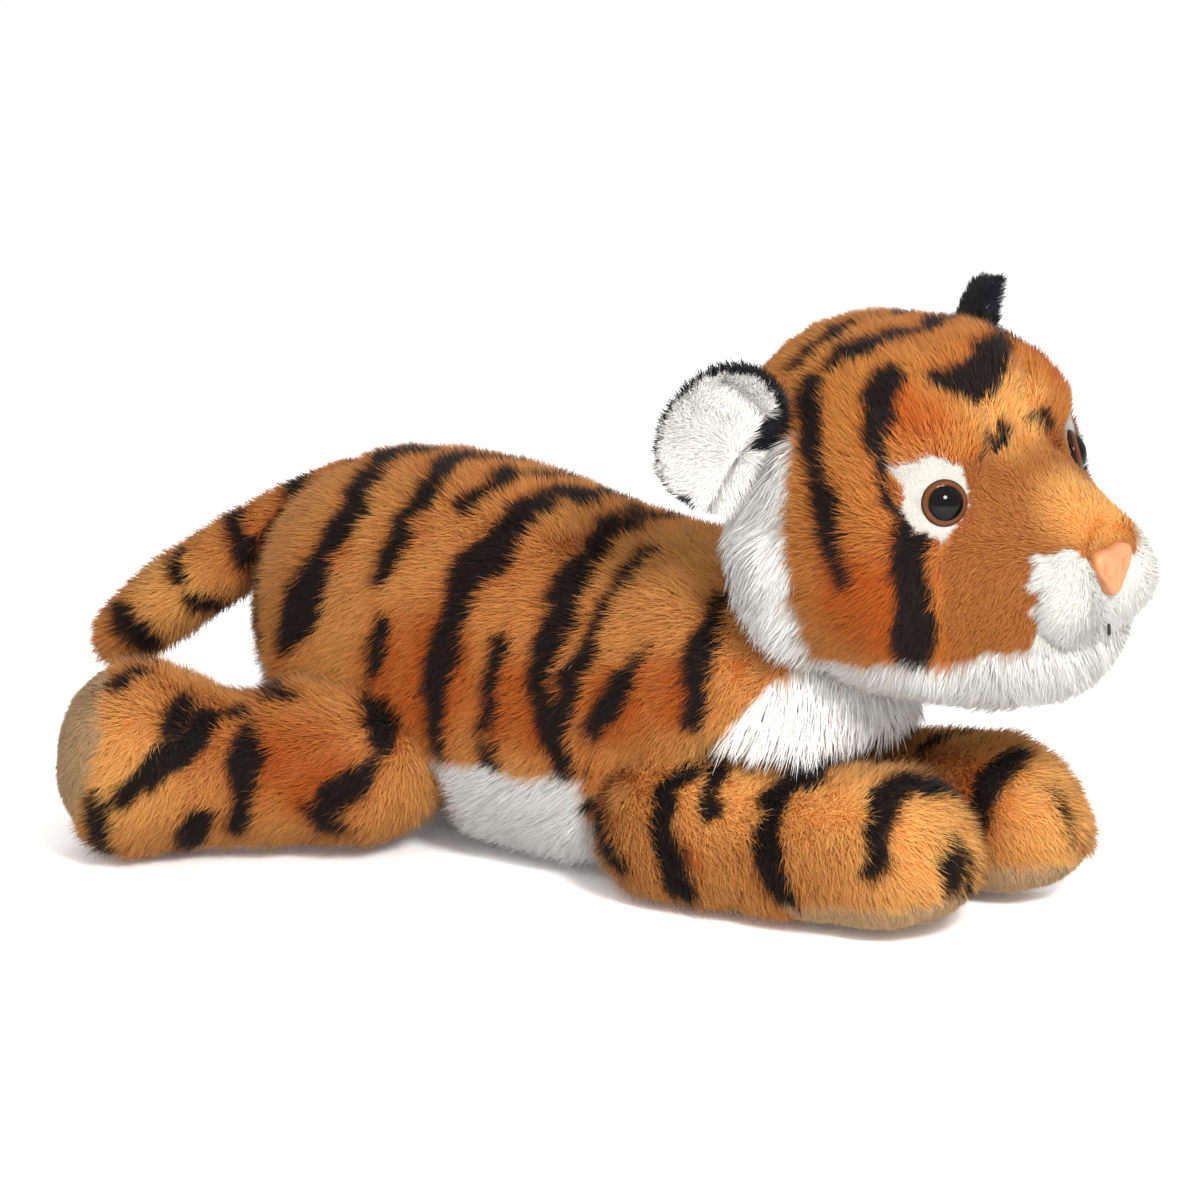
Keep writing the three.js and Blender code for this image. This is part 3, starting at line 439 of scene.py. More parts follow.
def crossed(strokes, turnPoint, shift=(0, 0, 0)):
    # the same strokes on another side
    def moved(point):
        return (*(turnPoint(np.array(point[:3], float)) + shift), point[3])
    return [[moved(point) for point in stroke] for stroke in strokes]


def overMiddle(point):
    return point * (1, -1, 1)


def overHeadMiddle(point):
    return fromHead(inHead(point) * (1, -1, 1))


def overFrontLeg(point):
    return np.array([point[0], -52 - point[1], point[2]])


rearLegWay = np.array([-0.787, -0.617, 0])


def overRearLeg(point):
    across = np.array([rearLegWay[1], -rearLegWay[0], 0])
    return point - 2 * np.dot(point - (-61, -41, 0), across) * across


tailRoot, tailTip = np.array([-95, 0, 91.0]), np.array([-162, -38, 41.0])


def overTail(point):
    way = unit(tailTip - tailRoot)
    middle = tailRoot + way * np.dot(point - tailRoot, way) + np.array([0, 0, 3.5])
    return 2 * middle - point


def lineGap(points, start, way):
    # how far along a straight line the nearest place to each point is, and how far away
    share = np.clip((points - start) @ way / (way @ way), 0, 1)
    return share, lengths(points - start - share[:, None] * way)


def darkDepth(points, strokes, wider, ragged=1.2):
    # how far each point lies inside the edge of a stripe, in mm
    moved = points + ragged * waves3(points, 7, 1)
    depth = np.full(len(points), -99.0)
    for stroke in strokes:
        for a, b in zip(stroke, stroke[1:]):
            start, way = np.array(a[:3]), np.array(b[:3]) - np.array(a[:3])
            share, gap = lineGap(moved, start, way)
            depth = np.maximum(depth, a[3] + (b[3] - a[3]) * share + wider - gap)
    return depth


# The roots of the ears, and the way each ear stands out
earRoots = {
    "ear_right": np.array([(68.9, -42.4, 124.5), (-0.4972, -0.7193, 0.4851)]),
    "ear_left": np.array([(77.9, 42.2, 132), (-0.3468, 0.7116, 0.611)]),
}


# Stuffed forms: the panels of a body joined, rounded, puffed out by its filling, and set back so
# that the pile ends at the size of the model

forms = {
    "torso": dict(panels=["torso_skin", "belly_panel", "chest_bib"],
                  filling=["torso_stuffing", "belly_bean_pouch"], voxel=3.0, smooth=14, inset=2.6, cap=3.0),
    "tail": dict(panels=["tail_skin"], filling=["tail_stuffing"], voxel=2.6, smooth=10, inset=2.9, cap=1.5),
    "head": dict(panels=["head_skin", "snout_skin", "jaw_ruff", "eye_patch_right", "cheek_ruff_right",
                         "muzzle_pad_right", "eye_patch_left", "cheek_ruff_left", "muzzle_pad_left"],
                 filling=["head_stuffing"], voxel=2.4, smooth=8, inset=2.0, cap=0),
    "neck": dict(panels=["neck_gusset"], filling=[], voxel=1.8, smooth=3, inset=0.8, cap=0),
}
for sideName in ("right", "left"):
    forms["ear_" + sideName] = dict(panels=["ear_back_" + sideName, "ear_lining_" + sideName], filling=[],
                                    voxel=1.5, smooth=4, inset=1.7, cap=0)
for sideName in ("right", "left"):
    for end in ("front", "rear"):
        leg = f"{end}_leg_{sideName}"
        forms[leg] = dict(panels=[leg + "_skin", leg + "_sole"],
                          filling=[leg + "_stuffing", leg + "_bean_pouch"],
                          voxel=2.8, smooth=12, inset=2.4, cap=2.5)
formDetails = {"pressure": 4, "clothSteps": 20, "earShare": 0.96, "floorGap": 1.6}

# Where the torso's filling bulges into the roots of legs and tail: two corners of each block, in mm
hipPads = [((13, 8, 24), (46, 40, 50)), ((-96, 12, 26), (-38, 46, 56)), ((-101, 0, 80), (-80, 9, 97))]

# Bulges of the filling: the middle of each, its reach and how far it moves the cloth, on both sides
bulges = {
    "head": [((39, 15, 31), 12, (5.6, 1.2, 1.0)), ((29, 25, 26), 8, (2.0, 1.6, -0.4)),
             ((64, 7, 5), 10, (2.8, 0.8, 2.8)), ((34, 28, 12), 9, (0.9, 0.8, 0.2)),
             ((63, 14, -13), 8, (1.6, 0.9, -0.6)),
             ((6, 0, 52), 20, (0, 0, -2.0)), ((-34, 0, 40), 14, (-0.6, 0, 2.2)),
             ((58, 0, 9), 13, (1.4, 0, 3.2)), ((33, 0, 38), 12, (2.0, 0, 0.8)),
             ((46, 0, 20), 9, (1.6, 0, 0.6))],
    "torso": [((-86, 0, 104), 15, (0, 0, 2.0)), ((-20, 0, 100), 26, (0, 0, -1.0)),
              ((20, 0, 96), 26, (0, 0, -1.0))],
    "front": [((124, -26, 40), 17, (-3.6, 0, -1.6)), ((121, -26, 8), 14, (2.0, 0, 0))],
    "rear": [((-118, -86, 50), 15, (2.6, 2.0, -1.0)), ((-129, -84, 14), 14, (-2.4, -1.4, 0)),
             ((-82, -54, 47), 16, (-1, 0, 4.6))],
}

# Seams and creases that pull the cloth in: their points, depth and width, on both sides
creases = {
    "head": [([(24, -17, 43), (29, -15, 38), (34, -8, 31), (38, -12, 22), (40, -15, 16)], 3.2, 2.6),
             ([(22, 0, 49), (34, 0, 38), (39, 0, 24)], 2.2, 3.2),
             ([(68, 0, -13), (66, 0, -20), (63, 0, -27)], 4.2, 2.0),
             ([(57, -23, -6), (57, -22, -19), (60, -15, -26), (63, -7, -27), (63, 0, -27)], 3.0, 1.8),
             ([(37, -31, 3), (37, -32, -16), (35, -31, -28)], 1.0, 2.4)],
    "ear": [([(-12, -56, 42), (-10, -51, 38), (-9, -48, 34), (-8, -43, 30)], 1.6, 2.2)],
    "front": [([(112, -12, 40), (124, -12, 32), (129, -12, 22), (126, -12, 10)], 3.4, 2.0),
              ([(112, -37, 40), (122, -37, 32), (127, -37, 22), (124, -37, 10)], 3.4, 2.0)],
}


def besides(body, places):
    # places given for the right side, taken to the side and frame of a body
    places = np.array(places, float)
    if body in ("head", "ear_right", "ear_left"):
        flip = -1 if body == "ear_left" else 1
        return fromHead(places * (1, flip, 1))
    return places * (1, -1 if body.endswith("left") else 1, 1)


def pathGap(points, track):
    # how far each point is from a line of points
    gap = np.full(len(points), 99.0)
    for start, end in zip(track, track[1:]):
        gap = np.minimum(gap, lineGap(points, start, end - start)[1])
    return gap


def sculpt(body, points, normals):
    kind = body.split("_")[0]
    sides = (1, -1) if body in ("head", "torso") else (1,)
    flips = {side: (1, side, 1) for side in sides}
    for centre, reach, move in bulges.get(kind, []):
        for side in sides if centre[1] else (1,):
            place = besides(body, np.array(centre) * flips[side])
            way = besides(body, np.array(move) * flips[side]) - besides(body, (0, 0, 0))
            near = np.exp(-(lengths(points - place) / reach) ** 2)
            points = points + near[:, None] * way
    for line, depth, width in creases.get(kind, []):
        for side in sides if line[0][1] else (1,):
            gap = pathGap(points, besides(body, np.array(line) * flips[side]))
            points = points - (depth * np.exp(-(gap / width) ** 2))[:, None] * normals
    return points


def joinedCopy(name, nodeNames, blocks=()):
    # the solids of some nodes as one object, with blocks on both sides
    shape = bmesh.new()
    for nodeName in nodeNames:
        shape.from_mesh(nodes[nodeName].data)
    bmesh.ops.remove_doubles(shape, verts=shape.verts, dist=1e-6)
    for low, high in blocks:
        for side in (-1, 1):
            cube = bmesh.ops.create_cube(shape, size=1)["verts"]
            for vert in cube:
                place = [a if c < 0 else b for a, b, c in zip(low, high, vert.co)]
                vert.co = Vector((place[0], place[1] * side, place[2])) * mm
            if side < 0:
                bmesh.ops.reverse_faces(shape, faces=list({f for v in cube for f in v.link_faces}))
    mesh = bpy.data.meshes.new(name)
    shape.to_mesh(mesh)
    shape.free()
    return pieceOf(name, mesh)


def keepLargest(mesh):
    # remeshing leaves an inner skin around each hollow, which goes
    shape = bmesh.new()
    shape.from_mesh(mesh)
    left, groups = set(shape.verts), []
    while left:
        stack, group = [left.pop()], []
        while stack:
            vert = stack.pop()
            group.append(vert)
            for edge in vert.link_edges:
                other = edge.other_vert(vert)
                if other in left:
                    left.remove(other)
                    stack.append(other)
        groups.append(group)
    groups.sort(key=len)
    if len(groups) > 1:
        bmesh.ops.delete(shape, geom=[v for g in groups[:-1] for v in g], context="VERTS")
        shape.to_mesh(mesh)
    shape.free()


def puffOut(piece, cap):
    # air pressure in a cloth bag, with the movement of each point held under the cap
    start = pointsOf(piece.data)
    cloth = piece.modifiers.new("filling", "CLOTH")
    cloth.settings.quality = 4
    cloth.settings.use_pressure = True
    cloth.settings.uniform_pressure_force = formDetails["pressure"]
    cloth.settings.effector_weights.gravity = 0
    cloth.point_cache.frame_start = 1
    cloth.point_cache.frame_end = formDetails["clothSteps"]
    for step in range(1, formDetails["clothSteps"] + 1):
        scene.frame_set(step)
    moved = pointsOf(meshOf(piece)) - start
    piece.modifiers.clear()
    scene.frame_set(1)
    reach = np.linalg.norm(moved, axis=1, keepdims=True)
    movePoints(piece.data, start + moved * np.minimum(1, cap / np.maximum(reach, 1e-6)))


def stuffedForm(body, plan):
    piece = joinedCopy(body + "Form", plan["panels"] + plan["filling"], hipPads if body == "torso" else ())
    remeshed(piece, plan["voxel"], plan["smooth"])
    applyAll(piece)
    keepLargest(piece.data)
    if plan["cap"]:
        puffOut(piece, plan["cap"])
    piece.modifiers.new("fine", "SUBSURF").levels = 1
    piece.modifiers["fine"].render_levels = 1
    applyAll(piece)
    points, normals = pointsOf(piece.data), normalsOf(piece.data)
    if body.startswith("ear"):
        points = earRoots[body][0] + (points - earRoots[body][0]) * formDetails["earShare"]
    points = sculpt(body, points - normals * plan["inset"], normals)
    points[:, 2] = np.maximum(points[:, 2], formDetails["floorGap"])  # room for the pressed pile
    movePoints(piece.data, points)
    piece.data.shade_smooth()
    return piece


def nearestPanel(points, panels):
    trees = [treeOf(panel) for panel in panels]
    best = np.empty(len(points), int)
    for i, point in enumerate(points):
        gaps = [tree.find_nearest(Vector(point))[3] for tree in trees]
        best[i] = int(np.argmin(gaps))
    return best


# Where the pile lies: the way it is brushed on each body, before it follows the surface

def aslant(way, side):
    # one way for each point, turned to its own side of the toy
    return np.stack([np.full(len(side), way[0]), way[1] * side, np.full(len(side), way[2])], 1)


def brushed(body, points, cloth):
    side = np.sign(points[:, 1:2])
    ways = np.zeros_like(points)
    if body in ("torso", "neck"):
        ways[:] = (-0.55, 0, -0.75)
        ways[cloth == "belly"] = (-0.8, 0, -0.35)
        bib = cloth == "bib"
        ways[bib] = aslant((-0.3, 0.25, -0.95), side[bib, 0])
    elif body == "tail":
        ways[:] = unit(tailTip - tailRoot)
    elif body.startswith("front"):
        ways[:] = (0.8, 0, -0.45)
        ways[cloth == "sole"] = (0.5, 0, -0.9)
    elif body.startswith("rear"):
        mirror = -1 if body.endswith("left") else 1
        ways[:] = (-0.62, -0.48 * mirror, -0.5)
        ways[cloth == "sole"] = (-0.1, -0.1 * mirror, -1)
    elif body.startswith("ear"):
        root = earRoots[body]
        ways[:] = unit(points - root[0] - root[1] * 6)
    else:
        ways[:] = headBrushed(points, cloth)
    return ways


def headBrushed(points, cloth):
    local = inHead(points)
    ahead, aside, up = local.T
    side = np.sign(aside)
    ways = np.stack([np.full_like(ahead, -0.75), 0.12 * side, np.clip(up / 22 - 0.25, -0.6, 0.55)], 1)
    lifted = smoothStep(up, -6, 10)
    snout = np.stack([-0.5 - 0.5 * lifted, 0.12 * side, -0.65 + 0.8 * lifted], 1)
    ways[cloth == "snout"] = snout[cloth == "snout"]
    lies = {"jaw": (-0.5, 0.2, -0.8), "ruff": (-0.55, 0.25, -0.8), "pad": (-0.45, 0.5, -0.6)}
    for name, way in lies.items():
        chosen = cloth == name
        ways[chosen] = aslant(way, side[chosen])
    chin = (cloth == "jaw") & (ahead > 46)
    ways[chin] = (0.1, 0, -1)
    around = cloth == "patch"
    ways[around] = local[around] - aslant((33, 27, 12.5), side[around])
    return unit(ways) @ headAxes


# Where the sewn cloth changes, in mm: on torso and legs, and in the head's own frame

seams = {
    "bibFront": 47, "bibCorner": (52, 46), "bibSlope": 1.25, "bibTop": 96,
    "bellyTop": 32.5, "bellyBack": -64, "bellyFront": 14, "rumpFront": -109, "rumpTop": 66, "rumpHalf": 24,
    "soleBack": 76, "soleTop": 12.5, "soleSlope": 0.12, "soleMiddle": 100,
    "heelBack": 74.5, "heelSlope": 0.26, "heelMiddle": 30,
    "rimShare": 0.73, "rimOut": 47, "rimTop": 22,
    "snoutBack": 36.5, "snoutTop": 21.5, "snoutFoot": -30, "patchReach": 18.5,
    "ruffFront": -1.5, "ruffHalf": 18, "ruffTop": 29,
    "ruffBack": ([-34, -20, -8, 10, 30], [-18, -20, -26, -30, -26]),
    "padBack": 56.3, "padHalf": 22.5, "padFoot": -25.5, "padTop": 0.8, "padSlope": 0.9, "padMiddle": 14,
}
eyePatchEdge = [
    (-14.6, 10.7), (-7.5, 11.2), (-0.5, 10.6), (5.0, 8.2), (6.6, 4.1), (6.8, -1.2), (3.2, -6.3),
    (-0.3, -9.8), (-3.9, -8.3), (-8.1, -6.6), (-11.2, -0.6), (-12.4, 5.5),
]


def insidePolygon(x, y, corners):
    inside = np.zeros(len(x), bool)
    for (xa, ya), (xb, yb) in zip(corners, corners[1:] + corners[:1]):
        crosses = ((ya > y) != (yb > y)) & (x < (xb - xa) * (y - ya) / (yb - ya + 1e-9) + xa)
        inside ^= crosses
    return inside


def recutSeams(body, points, cloth):
    # the cloth of each point, where the seams leave the panels' own edges
    ahead, aside, up = points.T
    striped = cloth == "striped"
    if body == "torso":
        chest = ((cloth == "bib") | striped) & (ahead > seams["bibFront"])
        low = up - seams["bibCorner"][1] < (ahead - seams["bibCorner"][0]) * seams["bibSlope"]
        cloth[chest & low] = "bib"
        cloth[chest & ~low & (up < seams["bibTop"])] = "striped"
        striped = cloth == "striped"
        flank = (up < seams["bellyTop"]) & (ahead < seams["bellyFront"]) & (ahead > seams["bellyBack"])
        rump = (ahead < seams["rumpFront"]) & (up < seams["rumpTop"]) & (np.abs(aside) < seams["rumpHalf"])
        cloth[striped & (flank | rump)] = "belly"
    if body.startswith("front"):
        top = seams["soleTop"] + seams["soleSlope"] * (ahead - seams["soleMiddle"])
        cloth[striped & (up < top) & (ahead > seams["soleBack"])] = "sole"
    if body.startswith("rear"):
        mirrored = points * (1, -1 if body.endswith("left") else 1, 1)
        back = (mirrored - (-61, -41, 27)) @ rearLegWay
        heel = back > seams["heelBack"] - seams["heelSlope"] * (up - seams["heelMiddle"])
        cloth[striped & heel] = "sole"
        cloth[(cloth == "sole") & ~heel] = "striped"
    ahead, aside, up = inHead(points).T
    if body.startswith("ear"):
        lining = pointsOf(nodes[body.replace("ear", "ear_lining")].data)
        reach = lengths(lining - lining.mean(0)).max()
        rim = lengths(points - lining.mean(0)) > seams["rimShare"] * reach
        cloth[rim & ((np.abs(aside) > seams["rimOut"]) | (up > seams["rimTop"]))] = "earBack"
        cloth[(ahead > -15) & (up < 23)] = "earLining"
        cloth[(ahead > -21) & (up < 20)] = "earLining"
    if body == "head":
        cloth[(cloth == "patch") | (cloth == "ruff")] = "face"
        snout = (ahead > seams["snoutBack"]) & (up < seams["snoutTop"]) & (up > seams["snoutFoot"])
        cloth[(cloth == "face") & snout] = "snout"
        for centre, right, rise in eyePlanes.values():
            across, above = (points - centre) @ right, (points - centre) @ rise
            near = lengths(points - centre) < seams["patchReach"]
            cloth[near & insidePolygon(across, above, eyePatchEdge)] = "patch"
        rear = np.interp(up, *seams["ruffBack"])
        outside = np.abs(aside) > seams["ruffHalf"]
        ruff = (ahead < seams["ruffFront"]) & (ahead > rear) & outside & (up < seams["ruffTop"])
        cloth[ruff & (cloth == "face")] = "ruff"
        # the ear's black back is sewn in along the rear edge of the ruff
        cloth[(ahead < rear + 1.5) & (ahead > rear - 3) & outside & (up > -9) & (up < 14)] = "earBack"
        padTop = seams["padTop"] - seams["padSlope"] * np.maximum(0, seams["padMiddle"] - np.abs(aside))
        pad = (ahead > seams["padBack"]) & (np.abs(aside) < seams["padHalf"])
        pad &= (up < padTop) & (up > seams["padFoot"])
        cloth[(cloth == "pad") & ~pad] = "snout"
        cloth[(cloth == "snout") & pad] = "pad"
    return cloth


# The eyes' own places: apex, and the two axes of the plane they lie in

def eyeLook(mirror):
    return unit(np.array([0.75, 0.63 * mirror, 0.2]) @ headAxes)


eyePlanes = {}
for sideName, mirror in (("right", -1), ("left", 1)):
    look = eyeLook(mirror)
    corners = pointsOf(nodes[f"eye_{sideName}"].data)
    apex = corners[np.argmax(corners @ look)]
    across = unit(np.cross((0, 0, 1), look)) * -mirror
    eyePlanes[mirror] = (apex, across, np.cross(look, across) * -mirror)


# Colour, length and lie of the pile at each point of a form

# Tints of the pile: rust is a deep orange used for the coat's own tone and for painted shade, gold is
# painted light, and ink is the printed stripe
coats = {
    "rustAndShadeTip": "#D6661C", "rustAndShadeRoot": "#7E2E0B", "litGoldTip": "#FFC474", "litGoldRoot": "#E08A38",
    "inkTip": "#251B17", "inkRoot": "#060403",
}
stripeWider = {"head": 1.1, "front_leg_right": 1.5, "front_leg_left": 1.3}  # on these bodies, in mm
growth = {
    "seamWander": 0.7, "wider": 0.8, "stripeEdge": (-2.0, 1.7), "haloEdge": (-6, -0.5), "halo": 0.32,
    "rust": 0.8, "rustMottle": 0.16, "pressedFrom": 0.5, "pressedTo": 5, "pressedLength": 0.45,
    "pressedRise": 0.3, "unevenLength": 0.1, "wander": 0.2, "parting": 0.55, "buried": (3, 6),
}


def spotShare(sides, spots):
    # 1 in the middle of a spot and 0 from its reach on, on both sides of the toy
    share = np.zeros(len(sides[0]))
    for x, y, z, reach in spots:
        for side in sides:
            share = np.maximum(share, 1 - lengths(side - (x, y, z)) / reach)
    return share


def tinted(colours, name, share):
    return colours + (np.array(colourOf(coats[name])) - colours) * share[:, None]


def grow(body, piece, plan):
    mesh = piece.data
    points, normals = pointsOf(mesh), normalsOf(mesh)
    outer = points + normals * plan["inset"]
    uneven = waves3(outer, 9, 4) * growth["seamWander"]
    panel = nearestPanel(outer + uneven, plan["panels"])
    cloth = np.array([clothOfNode[p] for p in plan["panels"]], dtype="<U10")[panel]
    cloth = recutSeams(body, outer + uneven, cloth)
    index = np.array([clothNames.index(c) for c in cloth])
    tip, root = (np.array([colourOf(c[end]) for c in cloths.values()])[index] for end in ("tip", "root"))
    length, rise = (np.array([c[key] for c in cloths.values()])[index] for key in ("pile", "rise"))
    orange = np.isin(cloth, ("striped", "face"))

    # the stripes are printed on the pile
    depth = darkDepth(outer, stripesOf.get(body, []), stripeWider.get(body, growth["wider"]))
    dark = smoothStep(depth, *growth["stripeEdge"]) * orange

    # the orange deepens to rust beside a stripe and in a mottle, and as painted shade in the rust spots
    sides = (outer, overHeadMiddle(outer) if body == "head" else overMiddle(outer))
    # painted shade, mixed with the coat's own deeper tone, in the rust spots
    rust = smoothStep(spotShare(sides, rustAndShadeSpots), 0, 0.6)
    halo = growth["halo"] * smoothStep(depth, *growth["haloEdge"])
    rustAndShade = rust * growth["rust"] + growth["rustMottle"] * waves(outer, 26, 11) + halo
    rustAndShade = np.clip(rustAndShade, 0, 1) * orange
    # painted light: the orange and the snout turn pale gold in the light spots and lose most of their rust
    # there
    light = smoothStep(spotShare(sides, paintedLightSpots), 0, 0.7) * (orange | (cloth == "snout"))
    rustAndShade *= 1 - 0.7 * light
    tip, root = tinted(tip, "rustAndShadeTip", rustAndShade * 0.9), tinted(root, "rustAndShadeRoot", rustAndShade * 0.8)
    tip, root = tinted(tip, "litGoldTip", light * 0.9), tinted(root, "litGoldRoot", light * 0.9)

    # under the toy and where pieces press together the pile is short and thin
    pressed = smoothStep(outer[:, 2], growth["pressedFrom"], growth["pressedTo"])
    length = length * atLeast(growth["pressedLength"], pressed)
    length = length * (1 + growth["unevenLength"] * waves(outer, 12, 21))
    rise = rise * atLeast(growth["pressedRise"], pressed)
    thick = atLeast(0.3, np.clip(pressed + (normals[:, 2] > -0.8), 0, 1))
    thick *= 1 - smoothStep(buriedDepth(body, points), *growth["buried"])
    if body == "head":
        length = headPile(outer, length)
    if body == "tail":
        length = length * atLeast(0.45, smoothStep(lengths(outer - tailRoot), 6, 24))
    ways = brushed(body, outer, cloth)
    ways = ways + growth["wander"] * waves3(outer, 18, 31) + growth["wander"] * waves3(outer, 6, 34)
    ways = ways - (ways * normals).sum(1, keepdims=True) * normals
    # the pile stands upright where the brushing parts
    ways = ways / np.maximum(np.linalg.norm(ways, axis=1, keepdims=True), growth["parting"])
    comb = (ways * np.sqrt(1 - rise ** 2)[:, None] + normals * rise[:, None]) * length[:, None]
    give(mesh, "comb", comb * mm)
    give(mesh, "thick", thick)
    give(mesh, "dark", dark)
    # the backing takes the roots' colour, which holds the painted shade of the pile's depth
    cover = tinted(root, "inkRoot", dark)
    for name, colours in (("tipColour", tip), ("rootColour", root), ("coat", cover)):
        give(mesh, name, np.c_[colours, np.ones(len(colours))])
    return cloth, outer


def buriedDepth(body, points):
    # how deep each point lies in the form of another body; neck and tail are left out, because
    # the torso shows its pile there when they move
    deepest = np.full(len(points), -99.0)
    low, high = points.min(0), points.max(0)
    for other, (surface, otherLow, otherHigh) in surfaces.items():
        if other in (body, "neck", "tail") or (low > otherHigh).any() or (high < otherLow).any():
            continue
        for i in np.flatnonzero(((points > otherLow) & (points < otherHigh)).all(1)):
            place, normal, _, gap = surface.find_nearest(Vector(points[i]))
            if (Vector(points[i]) - place).dot(normal) < -0.8 * gap:
                deepest[i] = max(deepest[i], gap)
    return deepest


def headPile(points, length):
    # the pile is short next to the eyes and the nose, so that they stay clear
    for mirror in (-1, 1):
        gap = lengths(points - eyePlanes[mirror][0])
        length = length * atLeast(0.3, smoothStep(gap, 6, 15))
    noseGap = lengths(inHead(points) - (66, 0, -8))
    return length * atLeast(0.35, smoothStep(noseGap, 7, 14))


farStripes = crossed(bodyStripes, overMiddle, (6, 0, -2))
stripesOf = {
    "torso": bodyStripes + farStripes,
    "neck": bodyStripes + farStripes,
    "head": headStripes + crossed(headStripes[:4] + headStripes[6:], overHeadMiddle, (1, 0, 1)),
    "tail": tailStripes + crossed(tailStripes, overTail, (2, 0, 2)),
    "front_leg_right": frontLegStripes + bodyStripes
    + crossed(frontLegStripes[:4], overFrontLeg, (4, 0, 0)),
    "rear_leg_right": rearLegStripes + bodyStripes + crossed(rearLegStripes, overRearLeg, (2, 0, 0)),
}
stripesOf["front_leg_left"] = farPawStripes + crossed(frontLegStripes[:1], overMiddle) + farStripes
stripesOf["rear_leg_left"] = crossed(stripesOf["rear_leg_right"], overMiddle)


# One strand of short pile is a dart with a ridge; one of long hair also bends half way

def strandShape(name, corners, faces, along):
    mesh = bpy.data.meshes.new(name)
    mesh.from_pydata(corners, [], faces)
    mesh.shade_smooth()
    give(mesh, "along", along)
    return bpy.data.objects.new(name, mesh)


shortStrand = strandShape(
    "shortStrand", [(0, -0.5, 0), (0, 0.5, 0), (0.3, 0, 0.7), (1, 0, 0)],
    [(0, 3, 2), (1, 2, 3)], [0, 0, 0.4, 1])
longStrand = strandShape(
    "longStrand",
    [(0, -0.5, 0), (0, 0.5, 0), (0.5, -0.42, 0.09), (0.5, 0.42, 0.09), (0.5, 0, 0.11), (1, 0, 0)],
    [(0, 2, 4), (0, 4, 1), (1, 4, 3), (2, 5, 4), (4, 5, 3)], [0, 0, 0.5, 0.5, 0.5, 1])


